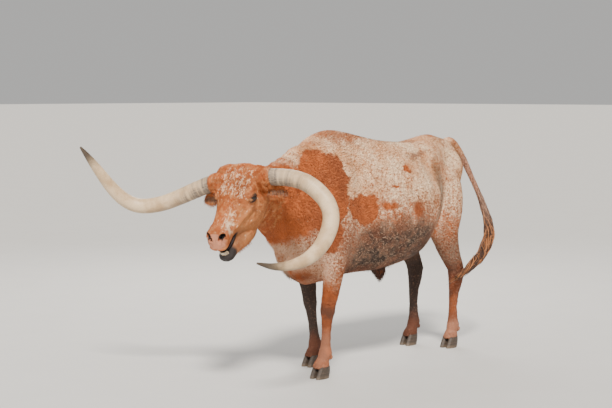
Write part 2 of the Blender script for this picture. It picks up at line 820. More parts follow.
def build_eye(nodes: Nodes) -> Material:
    """A dark brown eye: white at the corners, streaked iris and long level pupil.

    Args:
        nodes: the material's nodes.

    Returns:
        The material.
    """
    out = nodes.add("ShaderNodeAttribute", {"attribute_name": "gaze"}, {}, "Vector")
    ahead, up, along = (nodes.axis(out, index) for index in (2, 1, 0))
    radial = nodes.noise(nodes.vector("NORMALIZE", nodes.vector("MULTIPLY", out, (1.0, 1.0, 0.0))), 9.0, 3.0)
    iris = ahead.step(0.46, 0.52)
    pupil = nodes.vector("LENGTH", nodes.add("ShaderNodeCombineXYZ", {}, [along / 0.56, up / 0.30, 0.0]))
    hole = pupil.step(1.08, 0.92) * iris
    veins = nodes.noise(nodes.place, 330.0, 4.0, 0.65)
    white = nodes.mix(veins.step(0.5, 0.68) * 0.5, (0.20, 0.13, 0.10), (0.12, 0.035, 0.022))
    white = nodes.mix(ahead.step(0.22, 0.46) * 0.85, white, (0.05, 0.026, 0.015))
    ring = nodes.mix(radial.step(0.3, 0.7), (0.012, 0.006, 0.003), (0.036, 0.015, 0.007))
    ring = nodes.mix(ahead.step(0.62, 0.50) * 0.7, ring, (0.006, 0.003, 0.002))
    colour = nodes.mix(iris, white, ring)
    colour = nodes.mix(hole, colour, (0.004, 0.004, 0.006))
    return nodes.finish(
        Base_Color=colour,
        Roughness=0.16 + 0.10 * veins,
        Coat_Weight=0.6,
        Coat_Roughness=0.03,
        Specular_IOR_Level=0.4,
    )


def build_tooth(nodes: Nodes) -> Material:
    """Ivory teeth, browner towards the gum and faintly streaked.

    Args:
        nodes: the material's nodes.

    Returns:
        The material.
    """
    upright = nodes.vector("MULTIPLY", nodes.place, (1.0, 1.0, 0.2))
    streaks = nodes.noise(upright, 300.0, 3.0, 0.6)
    stains = nodes.noise(nodes.place, 90.0, 3.0)
    colour = nodes.mix(stains.step(0.35, 0.7), (0.74, 0.63, 0.46), (0.40, 0.27, 0.15))
    nodes.bump(streaks, 0.0006, 0.5)
    return nodes.finish(Base_Color=nodes.tint(colour, 0.8 + 0.4 * streaks), Roughness=0.28 + 0.2 * stains)


def build_mouth(nodes: Nodes) -> Material:
    """The dark wet lining of the mouth.

    Args:
        nodes: the material's nodes.

    Returns:
        The material.
    """
    lumps = nodes.noise(nodes.place, 120.0, 3.0)
    colour = nodes.mix(lumps.step(0.4, 0.7), (0.010, 0.006, 0.006), (0.035, 0.014, 0.013))
    nodes.bump(lumps, 0.001, 0.7)
    return nodes.finish(Base_Color=colour, Roughness=0.55 + 0.2 * lumps)


def build_switch(nodes: Nodes) -> Material:
    """Switch hair: grey-brown where it leaves the tail, then orange locks among dark ones.

    Args:
        nodes: the material's nodes.

    Returns:
        The material.
    """
    lock = nodes.add("ShaderNodeAttribute", {"attribute_name": "lock"}, {}, "Fac")
    high = nodes.axis(nodes.place, 2)
    cloud = nodes.noise(nodes.place, 9.0, 3.0, 0.6)
    strands = nodes.noise(nodes.place, 520.0, 3.0, 0.6)
    blend = (cloud * 0.8 + lock * 0.55 - 0.2).step(0.32, 0.72)
    low = nodes.mix(blend, (0.045, 0.020, 0.012), (0.47, 0.175, 0.055))
    upper = nodes.mix(blend, (0.16, 0.085, 0.058), (0.46, 0.27, 0.18))
    colour = nodes.mix((high + (cloud - 0.5) * 0.3).step(0.72, 0.98), low, upper)
    nodes.bump(strands, 0.0012, 0.6)
    shade = 0.66 + 0.60 * strands
    return nodes.finish(Base_Color=nodes.tint(colour, shade), Roughness=0.50 + 0.25 * strands)


def hair_finish(name: str, light: tuple, dark: tuple, patches: float) -> Finish:
    """A finish for long hair that varies from lock to lock.

    Args:
        name: the material's name.
        light: colour of the paler locks.
        dark: colour of the darker ones.
        patches: how finely the two are mixed through the hair.

    Returns:
        The finish.
    """

    def build(nodes: Nodes) -> Material:
        """Builds the hair's nodes.

        Args:
            nodes: the material's nodes.

        Returns:
            The material.
        """
        lock = nodes.add("ShaderNodeAttribute", {"attribute_name": "lock"}, {}, "Fac")
        strands = nodes.noise(nodes.place, 520.0, 3.0, 0.6)
        cloud = nodes.noise(nodes.place, patches, 3.0, 0.55)
        blend = (cloud * 0.9 + lock * 0.5 - 0.2).step(0.25, 0.75)
        colour = nodes.mix(blend, dark, light)
        nodes.bump(strands, 0.0012, 0.6)
        shade = 0.70 + 0.55 * strands
        return nodes.finish(Base_Color=nodes.tint(colour, shade), Roughness=0.50 + 0.25 * strands)

    return Finish(name, build)


HORN_FINISH = Finish("horn", build_horn)
HOOF_FINISH = Finish("hoof", build_hoof)
EYE_FINISH = Finish("eye", build_eye)
TOOTH_FINISH = Finish("tooth", build_tooth)
MOUTH_FINISH = Finish("mouth", build_mouth)
SWITCH_FINISH = Finish("switch hair", build_switch)
LEGS = ("foreleg_left", "foreleg_right", "hindleg_left", "hindleg_right")
TRUNK_NODES = ("torso", "neck", "tail_dock", "tail_middle")
HEAD_NODES = ("head", "ear_left", "ear_right")


@dataclass
class Skin:
    """One closed skin made from every solid of flesh, with the face's and body's forms in it."""

    steer: Steer
    material: Material
    voxel: float = 0.0055
    overlap: float = 0.0006
    inset: float = 0.0025
    triangles: int = 108000
    body: Object | None = None

    def build(self) -> Object:
        """Joins, smooths and shapes the skin.

        Returns:
            The skin's object.
        """
        parts = [copy_node(node, self.overlap) for node in (*TRUNK_NODES, *HEAD_NODES, *LEGS)]
        parts.append(self.jaw())
        parts.extend(self.socket(side) for side in Side)
        select_only(*reversed(parts))
        bpy.ops.object.join()
        self.body = bpy.context.view_layer.objects.active
        self.body.name = "skin"
        self.body.data.name = "skin"
        apply_modifier(self.body, "REMESH", mode="VOXEL", voxel_size=self.voxel, use_smooth_shade=True)
        self.keep_largest()
        self.smooth()
        self.refine()
        self.shape()
        self.body.data.materials.clear()
        self.body.data.materials.append(self.material)
        select_only(self.body)
        bpy.ops.object.shade_smooth()
        LOG.info("skin: %d faces", len(self.body.data.polygons))
        return self.body

    def jaw(self) -> Object:
        """The lower jaw without its teeth, which are pieces of their own.

        Returns:
            The jaw's object.
        """
        jaw = copy_node("lower_jaw", self.overlap)
        level = self.steer.from_head(np.array([0.0, 0.0, MOUTH_FLOOR]))
        work = bmesh.new()
        work.from_mesh(jaw.data)
        everything = [*work.verts, *work.edges, *work.faces]
        cut = bmesh.ops.bisect_plane(
            work, geom=everything, plane_co=level, plane_no=self.steer.axes[2], clear_outer=True
        )
        rim = [item for item in cut["geom_cut"] if isinstance(item, bmesh.types.BMEdge)]
        bmesh.ops.holes_fill(work, edges=rim)
        work.to_mesh(jaw.data)
        work.free()
        return jaw

    def socket(self, side: Side) -> Object:
        """A bulge that fills the socket, so that the lids are shaped from whole skin.

        Args:
            side: which eye.

        Returns:
            The bulge's object.
        """
        bpy.ops.mesh.primitive_uv_sphere_add(segments=32, ring_count=20, radius=1.0)
        bulge = bpy.context.active_object
        size = np.array([0.0385, 0.0262, 0.0300])
        set_points(bulge, self.eye(side) + (points_of(bulge) * size) @ self.steer.axes)
        return bulge

    def eye(self, side: Side) -> Array:
        """The centre of one eye in the row frame."""
        x, y, z = EYE_IN_HEAD
        return self.steer.from_head(np.array([x, -side.value * y, z]))

    def keep_largest(self) -> None:
        """Drops every loose island but the largest."""
        work = bmesh.new()
        work.from_mesh(self.body.data)
        left = set(work.verts)
        islands = []
        while left:
            start = left.pop()
            island, queue = [start], [start]
            while queue:
                for edge in queue.pop().link_edges:
                    for other in edge.verts:
                        if other in left:
                            left.remove(other)
                            island.append(other)
                            queue.append(other)
            islands.append(island)
        islands.sort(key=len)
        spare = [vert for island in islands[:-1] for vert in island]
        bmesh.ops.delete(work, geom=spare, context="VERTS")
        work.to_mesh(self.body.data)
        work.free()

    def group(self, name: str, weights: Array) -> None:
        """Stores one weight per vertex as a vertex group.

        Args:
            name: the group's name.
            weights: one number per vertex.
        """
        made = self.body.vertex_groups.new(name=name)
        levels = np.round(np.clip(weights, 0.0, 1.0), 2)
        for level in np.unique(levels):
            if level > 0.0:
                members = np.nonzero(levels == level)[0]
                made.add([int(i) for i in members], float(level), "REPLACE")

    def head_share(self, points: Array) -> Array:
        """1 on the head and ears, 0 on the body.

        Args:
            points: places in the row frame.

        Returns:
            One share per point.
        """
        head = self.steer.to_head(points)
        near = np.linalg.norm((head - (0.17, 0.0, -0.06)) / (0.40, 0.33, 0.26), axis=1)
        return 1.0 - smoothstep(0.85, 1.05, near)

    def leg_share(self, points: Array) -> Array:
        """1 low on the legs, 0 on the trunk."""
        place = self.steer.to_body(points)
        return 1.0 - smoothstep(0.52, 0.78, place[:, 2])

    def smooth(self) -> None:
        """Takes the solids' facets away, most on the trunk and least on the face and feet."""
        points = points_of(self.body)
        tail = smoothstep(0.80, 0.88, self.steer.to_body(points)[:, 0])
        trunk = (1.0 - self.head_share(points)) * (1.0 - self.leg_share(points)) * (1.0 - tail)
        self.group("trunk", trunk)
        self.group("fine", 1.0 - trunk)
        apply_modifier(self.body, "SMOOTH", factor=0.5, iterations=110, vertex_group="trunk")
        for factor in (0.5, -0.53) * 5:
            apply_modifier(self.body, "SMOOTH", factor=factor, iterations=5, vertex_group="fine")
        ratio = min(1.0, self.triangles / max(1, 2 * len(self.body.data.polygons)))
        apply_modifier(self.body, "DECIMATE", ratio=ratio, use_collapse_triangulate=True)
        self.body.vertex_groups.clear()

    def refine(self) -> None:
        """Adds faces round the eyes, the nostrils and the lips."""
        for level in range(3):
            work = bmesh.new()
            work.from_mesh(self.body.data)
            wanted = self.detail(np.array([vert.co[:] for vert in work.verts]), level)
            edges = [edge for edge in work.edges if all(wanted[vert.index] for vert in edge.verts)]
            bmesh.ops.subdivide_edges(work, edges=edges, cuts=1)
            bmesh.ops.triangulate(work, faces=[face for face in work.faces if len(face.verts) > 3])
            work.to_mesh(self.body.data)
            work.free()

    def detail(self, points: Array, level: int) -> Array:
        """Which points lie where the skin needs fine faces.

        Args:
            points: the skin's vertices.
            level: 0 for the first halving of the faces, 2 for the last.

        Returns:
            One truth value per point.
        """
        head = self.steer.to_head(points)
        wanted = np.zeros(len(points), dtype=bool)
        for side in Side:
            sign = -side.value
            eye = head - np.array([EYE_IN_HEAD[0], sign * EYE_IN_HEAD[1], EYE_IN_HEAD[2]])
            wanted |= np.linalg.norm(eye, axis=1) < (0.056, 0.042, 0.031)[level]
            hole = head - np.array([0.398, sign * 0.040, -0.004])
            wanted |= np.linalg.norm(hole, axis=1) < (0.038, 0.030, 0.021)[level]
        lips = np.linalg.norm((head - (0.40, 0.008, -0.098)) / (0.13, 0.09, 0.05), axis=1)
        return wanted | (lips < (0.90, 0.55, 0.0)[level])

    def shape(self) -> None:
        """Sculpts the forms that the solids leave out, then draws the skin in by the coat's depth."""
        for work in (self.shape_body, self.shape_legs, self.shape_head, self.shape_nostrils):
            set_points(self.body, work(points_of(self.body), normals_of(self.body)))
        set_points(self.body, points_of(self.body) - normals_of(self.body) * self.inset)
        for side in Side:
            set_points(self.body, self.shape_lids(points_of(self.body), side))

    def shape_body(self, points: Array, normals: Array) -> Array:
        """Shoulder blades, ribs, flank folds, neck wrinkles and brisket folds.

        Args:
            points: the skin's vertices.
            normals: their outward directions.

        Returns:
            The moved vertices.
        """
        place = self.steer.to_body(points)
        x, y, z = place.T
        side = np.where(y < 0, -1.0, 1.0)
        flat = np.stack([x, z], axis=1)
        trunk = 1.0 - self.head_share(points)
        rise = np.zeros(len(points))

        blade = ridge(flat, (-0.56, 1.31), (-0.70, 1.00), 0.030)
        behind = ridge(flat, (-0.45, 1.27), (-0.53, 0.92), 0.045)
        before = ridge(flat, (-0.70, 1.24), (-0.83, 1.02), 0.035)
        rise += trunk * (0.008 * blade - 0.007 * behind - 0.006 * before)
        point = np.stack([x + 0.80, y - side * 0.20, z - 0.98], axis=1)
        rise += trunk * 0.010 * bell(point, (0.07, 0.1, 0.07))

        barrel = smoothstep(-0.45, -0.30, x) * (1 - smoothstep(0.18, 0.34, x))
        sides = smoothstep(0.78, 0.92, z) * (1 - smoothstep(1.16, 1.28, z))
        rise += trunk * barrel * sides * 0.0016 * np.sin(2 * np.pi * (x + 0.22 * z) / 0.062)

        flank = ridge(flat, (0.27, 0.84), (0.40, 1.06), 0.035)
        hollow = bell(np.stack([x - 0.36, z - 1.20], 1), (0.09, 0.08))
        stifle = ridge(flat, (0.44, 1.12), (0.36, 0.86), 0.030)
        rise += trunk * (0.006 * flank - 0.010 * hollow - 0.008 * stifle)

        throat = smoothstep(-0.72, -0.80, x) * smoothstep(1.12, 0.96, z) * trunk
        rise += throat * 0.0042 * np.sin(2 * np.pi * (x * 0.8 + z * 0.25) / 0.060 + 1.5 * np.sin(7 * z))
        neck = smoothstep(-0.62, -0.72, x) * smoothstep(0.98, 1.08, z) * trunk
        rise += neck * 0.0024 * np.sin(2 * np.pi * (x + 0.40 * z) / 0.075 + 1.2 * np.sin(9 * z + 2 * y))

        rump = bell(np.stack([x - 0.62, z - 1.30], 1), (0.07, 0.05))
        thigh = ridge(flat, (0.62, 1.16), (0.52, 0.72), 0.045)
        rise += trunk * (0.005 * rump - 0.006 * thigh)
        lumps = np.sin(13 * x + 4 * z) * np.sin(11 * z - 5 * x + 1) * np.sin(9 * y + 2)
        rise += trunk * 0.0022 * lumps
        return points + normals * rise[:, None]

    def shape_legs(self, points: Array, normals: Array) -> Array:
        """Tendons, joints and the skin's edge over the hooves.

        Args:
            points: the skin's vertices.
            normals: their outward directions.

        Returns:
            The moved vertices.
        """
        place = self.steer.to_body(points)
        z = place[:, 2]
        moved = points.copy()
        for node in LEGS:
            low, high = (self.steer.to_body(np.array(corner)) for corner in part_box(node))
            inside = np.all((place > low - 0.01) & (place < high + 0.01), axis=1) & (z < 0.52)
            chosen = np.nonzero(inside)[0]
            if not len(chosen):
                continue
            part = place[chosen]
            level = np.clip((part[:, 2] / 0.01).astype(int), 0, 60)
            counts = np.maximum(np.bincount(level, minlength=61), 1)
            middle = np.stack([np.bincount(level, part[:, i], 61) / counts for i in (0, 1)], axis=1)
            offset = part[:, :2] - middle[level]
            reach = np.sqrt(np.bincount(level, np.sum(offset**2, axis=1), 61) / counts)[level]
            along = offset[:, 0] / np.maximum(reach, 0.01)
            height = part[:, 2]
            cannon = smoothstep(0.13, 0.19, height) * (1 - smoothstep(0.33, 0.40, height))
            groove = np.exp(-(((along - 0.45) / 0.30) ** 2)) * cannon
            bone = np.exp(-(((along + 0.55) / 0.35) ** 2)) * cannon
            knob = np.exp(-(((height - 0.142) / 0.028) ** 2))
            rise = -0.0050 * groove + 0.0015 * bone + 0.0030 * knob
            rise += 0.0025 * smoothstep(0.100, 0.076, height)
            moved[chosen] += normals[chosen] * rise[:, None]
            moved[chosen, 2] -= 0.011 * smoothstep(0.104, 0.074, height)
        return moved

    def shape_head(self, points: Array, normals: Array) -> Array:
        """Brow, cheek, facial crest, nose, lips and the folds about them.

        Args:
            points: the skin's vertices.
            normals: their outward directions.

        Returns:
            The moved vertices.
        """
        head = self.steer.to_head(points)
        x, y, z = head.T
        share = self.head_share(points)
        wide = np.abs(y)
        half = np.stack([x, wide, z], axis=1)
        rise = np.zeros(len(points))
        eye_x, eye_y, eye_z = EYE_IN_HEAD
        rise += 0.0075 * bell(half - (eye_x - 0.016, eye_y - 0.010, eye_z + 0.034), (0.036, 0.030, 0.013))
        rise -= 0.0050 * bell(half - (eye_x + 0.045, eye_y - 0.010, eye_z + 0.006), (0.022, 0.025, 0.018))
        flat = np.stack([x, z], axis=1)
        cheek_side = smoothstep(0.05, 0.07, wide)
        rise += 0.0050 * ridge(flat, (0.150, -0.048), (0.285, -0.052), 0.011) * cheek_side
        rise -= 0.0065 * ridge(flat, (0.170, -0.020), (0.300, -0.018), 0.016) * cheek_side
        rise -= 0.0050 * ridge(flat, (0.180, -0.082), (0.300, -0.082), 0.017) * cheek_side
        rise += 0.0080 * bell(half - (0.090, 0.100, -0.130), (0.075, 0.06, 0.070))
        rise -= 0.0060 * bell(half - (0.020, 0.120, -0.070), (0.030, 0.05, 0.040))
        rise += 0.0030 * bell(np.stack([x - 0.25, y], 1), (0.12, 0.020)) * smoothstep(0.0, 0.02, z)
        rise -= 0.0045 * bell(half - (0.100, 0.045, 0.060), (0.055, 0.022, 0.05))
        rise += 0.0040 * ridge(flat, (0.335, 0.012), (0.385, -0.030), 0.010) * smoothstep(0.03, 0.05, wide)
        lip = np.stack([x - 0.405, z + 0.070], axis=1)
        rise += 0.0040 * np.exp(-((lip[:, 1] / 0.013) ** 2)) * smoothstep(0.32, 0.36, x)
        seam = 0.0035 * np.exp(-(((z + 0.052) / 0.007) ** 2)) * smoothstep(0.33, 0.37, x)
        rise -= seam * smoothstep(0.02, 0.04, wide)
        rise -= 0.0040 * bell(np.stack([x - 0.438, y, z + 0.066], 1), (0.03, 0.004, 0.030))
        wrinkle = np.sin(2 * np.pi * (x + 0.4 * z) / 0.016 + 2.0 * np.sin(60 * z))
        rise += 0.0008 * wrinkle * smoothstep(0.30, 0.34, x) * (1 - smoothstep(0.36, 0.39, x)) * cheek_side
        rise -= 0.0060 * bell(half - (0.300, 0.060, -0.098), (0.022, 0.03, 0.016))
        return points + normals * (rise * share)[:, None]

    def shape_nostrils(self, points: Array, normals: Array) -> Array:
        """Deep comma-shaped nostrils with thick rims.

        Args:
            points: the skin's vertices.
            normals: their outward directions.

        Returns:
            The moved vertices.
        """
        head = self.steer.to_head(points)
        moved = points.copy()
        for side in Side:
            sign = -side.value
            flat = np.stack([head[:, 0], head[:, 1] * sign, head[:, 2]], axis=1)
            comma = np.min(
                [
                    np.linalg.norm((flat - (0.402, 0.031, -0.014)) / (0.020, 0.0105, 0.0100), axis=1),
                    np.linalg.norm((flat - (0.392, 0.044, 0.000)) / (0.020, 0.0115, 0.0095), axis=1),
                    np.linalg.norm((flat - (0.382, 0.055, -0.002)) / (0.016, 0.0100, 0.0075), axis=1),
                ],
                axis=0,
            )
            sink = smoothstep(1.25, 0.70, comma)
            rim = np.exp(-(((comma - 1.55) / 0.28) ** 2))
            inward = np.array([-0.75, -0.30 * sign, -0.45]) @ self.steer.axes
            moved += inward * (0.020 * sink)[:, None] + normals * (0.0030 * rim)[:, None]
        return moved

    def shape_lids(self, points: Array, side: Side) -> Array:
        """Closes the lids over one eyeball, leaving an almond opening.

        Args:
            points: the skin's vertices.
            side: which eye.

        Returns:
            The moved vertices.
        """
        centre = self.eye(side)
        away = points - centre
        distance = np.linalg.norm(away, axis=1)
        near = distance < 0.060
        frame = eye_frame(self.steer, side)
        local = away[near] @ frame.T
        far = distance[near]
        u, v = local[:, 0] / far, local[:, 1] / far
        outward = local[:, 2] / far
        upper, lower = lid_edges(u)
        gap = np.minimum(upper - v, v - lower)
        gap = np.where(np.abs(u) < 0.88, gap, -0.2)
        opening = smoothstep(-0.035, 0.045, gap) * smoothstep(0.1, 0.3, outward)
        lid = EYE_RADIUS + 0.0028 + 0.0012 * np.exp(-(((gap + 0.10) / 0.06) ** 2))
        crease_up = 0.0022 * np.exp(-(((v - upper - 0.24) / 0.045) ** 2)) * (np.abs(u) < 0.9)
        crease_low = 0.0018 * np.exp(-(((lower - v - 0.26) / 0.05) ** 2)) * (np.abs(u) < 0.9)
        bag = 0.0015 * np.exp(-(((lower - v - 0.16) / 0.06) ** 2)) * (np.abs(u) < 0.9)
        closeness = smoothstep(0.031, 0.021, np.linalg.norm(local[:, :2], axis=1)) * (outward > 0)
        held = np.maximum(lid, np.minimum(far, lid + 0.004))
        shell = np.maximum(far, lid) * (1 - closeness) + held * closeness
        shell = shell + (bag - crease_up - crease_low) * closeness
        wanted = shell * (1 - opening) + (EYE_RADIUS - 0.006) * opening
        result = points.copy()
        result[near] = centre + away[near] * (wanted / far)[:, None]
        return result


def lid_edges(along: Array) -> tuple[Array, Array]:
    """How high the upper and lower lids' edges lie, over the eye's radius.

    Args:
        along: places along the slit, over the eye's radius.

    Returns:
        The upper and the lower edge.
    """
    curve = np.sqrt(np.clip(1.0 - (along / 0.86) ** 2, 0.0, 1.0))
    return 0.44 * curve**0.85 + 0.03, -0.32 * curve**0.9 + 0.02


def ridge(flat: Array, start: tuple[float, float], end: tuple[float, float], width: float) -> Array:
    """A soft rounded ridge of height 1 along a line.

    Args:
        flat: two coordinates per point.
        start: one end of the line.
        end: its other end.
        width: how far the ridge reaches to each side.

    Returns:
        One height per point.
    """
    first, last = np.array(start), np.array(end)
    run = last - first
    share = np.clip((flat - first) @ run / (run @ run), 0.0, 1.0)
    away = flat - (first + share[:, None] * run)
    return np.exp(-np.sum(away**2, axis=1) / width**2)


def eye_frame(steer: Steer, side: Side) -> Array:
    """Rows: along the slit towards the nose, across it upwards, and out of the eye.

    Args:
        steer: the animal's frames.
        side: which eye.

    Returns:
        The three directions in the row frame.
    """
    sign = -side.value
    out = np.array([0.14, sign * 1.0, 0.16])
    slant = math.radians(29.0)
    along = np.array([math.cos(slant), 0.0, math.sin(slant)])
    out /= np.linalg.norm(out)
    along -= out * (along @ out)
    along /= np.linalg.norm(along)
    up = np.cross(out, along) * -sign
    up *= np.sign(up[2]) or 1.0
    return np.array([along, up, out]) @ steer.axes


@dataclass
class Horn:
    """One horn: a round tapered tube with growth rings at its base."""

    name: str
    node: str
    rows: tuple[tuple[float, float, float, float], ...]
    steer: Steer
    material: Material
    rings: int = 220
    sides: int = 40

    def build(self) -> Object:
        """Sweeps the tube and marks how far along and which way round each point lies.

        Returns:
            The horn's object.
        """
        rows = np.array(self.rows) / 1000.0
        path = smooth_path(rows, self.rings)
        centres = self.steer.from_body(path[:, :3])
        lengths = np.linalg.norm(np.diff(centres, axis=0), axis=1)
        along = np.concatenate([[0.0], np.cumsum(lengths)]) / lengths.sum()
        rough = 0.0010 * smoothstep(0.36, 0.04, along) * np.sin(95 * along + 3 * np.sin(31 * along))
        radii = np.maximum(path[:, 3] - 0.0008 + rough, 0.0012)
        radii[-1] = 0.0006
        points, outward, faces = sweep(centres, radii, self.sides)
        horn = new_object(self.name, points, faces)
        ring = np.repeat(along, self.sides)
        marks = horn.data.attributes.new("along", "FLOAT", "POINT")
        marks.data.foreach_set("value", ring.astype(np.float32))
        marks = horn.data.attributes.new("around", "FLOAT_VECTOR", "POINT")
        marks.data.foreach_set("vector", outward.astype(np.float32).ravel())
        horn.data.materials.append(self.material)
        select_only(horn)
        bpy.ops.object.shade_smooth()
        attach(horn, "root")
        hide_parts(self.node)
        LOG.info("%s: %d faces", self.name, len(horn.data.polygons))
        return horn


def smooth_path(rows: Array, count: int) -> Array:
    """A smooth line through every row, evenly stepped along its length.

    Args:
        rows: points to pass through, with any further numbers per point.
        count: how many points to return.

    Returns:
        The points of the line.
    """
    padded = np.vstack([2 * rows[0] - rows[1], rows, 2 * rows[-1] - rows[-2]])
    fine = []
    for a, b, c, d in zip(padded, padded[1:], padded[2:], padded[3:]):
        for t in np.linspace(0.0, 1.0, 24, endpoint=False):
            bend = (2 * a - 5 * b + 4 * c - d) * t**2
            turn = (3 * b - a - 3 * c + d) * t**3
            fine.append(0.5 * (2 * b + (c - a) * t + bend + turn))
    fine = np.array([*fine, rows[-1]])
    steps = np.linalg.norm(np.diff(fine[:, :3], axis=0), axis=1)
    length = np.concatenate([[0.0], np.cumsum(steps)])
    wanted = np.linspace(0.0, length[-1], count)
    return np.stack([np.interp(wanted, length, fine[:, i]) for i in range(rows.shape[1])], axis=1)


def sweep(centres: Array, radii: Array, sides: int) -> tuple[Array, Array, list[tuple[int, ...]]]:
    """A closed round tube along a line.

    Args:
        centres: the tube's middle, one point per ring.
        radii: one radius per ring.
        sides: points per ring.

    Returns:
        The points, their outward directions and the faces.
    """
    tangents = np.gradient(centres, axis=0)
    tangents /= np.linalg.norm(tangents, axis=1)[:, None]
    across = np.cross(tangents[0], (0.0, 0.0, 1.0))
    angles = np.linspace(0.0, 2 * np.pi, sides, endpoint=False)
    points, outward = [], []
    for centre, tangent, radius in zip(centres, tangents, radii):
        across = across - tangent * (across @ tangent)
        across = across / np.linalg.norm(across)
        up = np.cross(across, tangent)
        spokes = np.cos(angles)[:, None] * across + np.sin(angles)[:, None] * up
        points.append(centre + spokes * radius)
        outward.append(spokes)
    faces = []
    for ring in range(len(centres) - 1):
        for side in range(sides):
            start, after = ring * sides, (side + 1) % sides
            faces.append((start + side, start + sides + side, start + sides + after, start + after))
    last = (len(centres) - 1) * sides
    faces.append(tuple(range(sides)))
    faces.append(tuple(last + side for side in reversed(range(sides))))
    return np.vstack(points), np.vstack(outward), faces


@dataclass
class Eye:
    """One eyeball with the place of its iris marked."""

    side: Side
    centre: Array
    steer: Steer
    material: Material

    def build(self) -> Object:
        """Adds the ball and marks each point's direction from the eye's middle.

        Returns:
            The eye's object.
        """
        bpy.ops.mesh.primitive_uv_sphere_add(
            segments=64, ring_count=40, radius=EYE_RADIUS, location=tuple(self.centre)
        )
        ball = bpy.context.active_object
        ball.name = f"eye_{self.side.name.lower()}_ball"
        bpy.ops.object.transform_apply(location=True, rotation=True, scale=True)
        frame = eye_frame(self.steer, self.side)
        local = (points_of(ball) - self.centre) / EYE_RADIUS @ frame.T
        cornea = 1.0 + 0.05 * smoothstep(0.62, 0.95, local[:, 2])
        set_points(ball, self.centre + (points_of(ball) - self.centre) * cornea[:, None])
        marks = ball.data.attributes.new("gaze", "FLOAT_VECTOR", "POINT")
        marks.data.foreach_set("vector", local.astype(np.float32).ravel())
        ball.data.materials.append(self.material)
        bpy.ops.object.shade_smooth()
        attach(ball, "root")
        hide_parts(f"eye_{self.side.name.lower()}")
        LOG.info("%s: %d faces", ball.name, len(ball.data.polygons))
        return ball


@dataclass
class Hooves:
    """The eight claws and the dewclaws above them."""

    steer: Steer
    material: Material
    voxel: float = 0.0022
    overlap: float = 0.0008
    ring_step: float = 0.0075
    dewclaw_radius: float = 0.013
    dewclaw_spread: float = 0.021
    dewclaw_behind: float = 0.042
    dewclaw_height: float = 0.122

    def build(self) -> list[Object]:
        """Rounds the claws of each foot.

        Returns:
            One object per claw and pair of dewclaws.
        """
        made = []
        for leg in LEGS:
            for part in ("claw_outer", "claw_inner"):
                made.append(self.claw(f"{leg}_{part}"))
            made.append(self.dewclaws(leg))
        LOG.info("hooves: %d pieces", len(made))
        return made

    def claw(self, node: str) -> Object:
        """One claw, its facets rounded and faint growth rings raised round it.

        Args:
            node: the claw's node.

        Returns:
            The claw.
        """
        claw = copy_node(node, self.overlap)
        claw.name = f"{node}_horn"
        apply_modifier(claw, "REMESH", mode="VOXEL", voxel_size=self.voxel, use_smooth_shade=True)
        apply_modifier(claw, "SMOOTH", factor=0.5, iterations=7)
        points = points_of(claw)
        level = points[:, 2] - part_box(node)[0][2]
        wall = smoothstep(0.004, 0.012, level)
        rings = 0.0006 * wall * np.sin(2 * np.pi * level / self.ring_step)
        points = points + normals_of(claw) * rings[:, None]
        points[:, 2] = np.maximum(points[:, 2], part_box(node)[0][2])
        set_points(claw, points)
        return self.dress(claw, node)

    def dewclaws(self, leg: str) -> Object:
        """The two small horny points behind the fetlock.

        Args:
            leg: the leg's node.

        Returns:
            Both points as one piece.
        """
        low, high = (np.array(corner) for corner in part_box(f"{leg}_claw_outer"))
        other_low, other_high = (np.array(corner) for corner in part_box(f"{leg}_claw_inner"))
        middle = (low + high + other_low + other_high) / 4
        back = middle[0] + self.dewclaw_behind
        height = self.steer.shift[2] + self.dewclaw_height
        balls = []
        for sign in (-1.0, 1.0):
            bpy.ops.mesh.primitive_uv_sphere_add(
                segments=20,
                ring_count=12,
                radius=self.dewclaw_radius,
                location=(back, middle[1] + sign * self.dewclaw_spread, height),
            )
            ball = bpy.context.active_object
            ball.scale = (0.95, 0.85, 1.35)
            ball.rotation_euler = (0.0, math.radians(-22.0), 0.0)
            bpy.ops.object.transform_apply(location=True, rotation=True, scale=True)
            balls.append(ball)
        select_only(*balls)
        bpy.ops.object.join()
        pair = bpy.context.view_layer.objects.active
        pair.name = f"{leg}_dewclaws"
        return self.dress(pair, None)

    def dress(self, piece: Object, node: str | None) -> Object:
        """Gives one piece its finish and its place in the model.

        Args:
            piece: the piece.
            node: the node it stands for, if any.

        Returns:
            The piece.
        """
        piece.data.materials.clear()
        piece.data.materials.append(self.material)
        select_only(piece)
        bpy.ops.object.shade_smooth()
        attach(piece, "root")
        if node:
            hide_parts(node)
        return piece


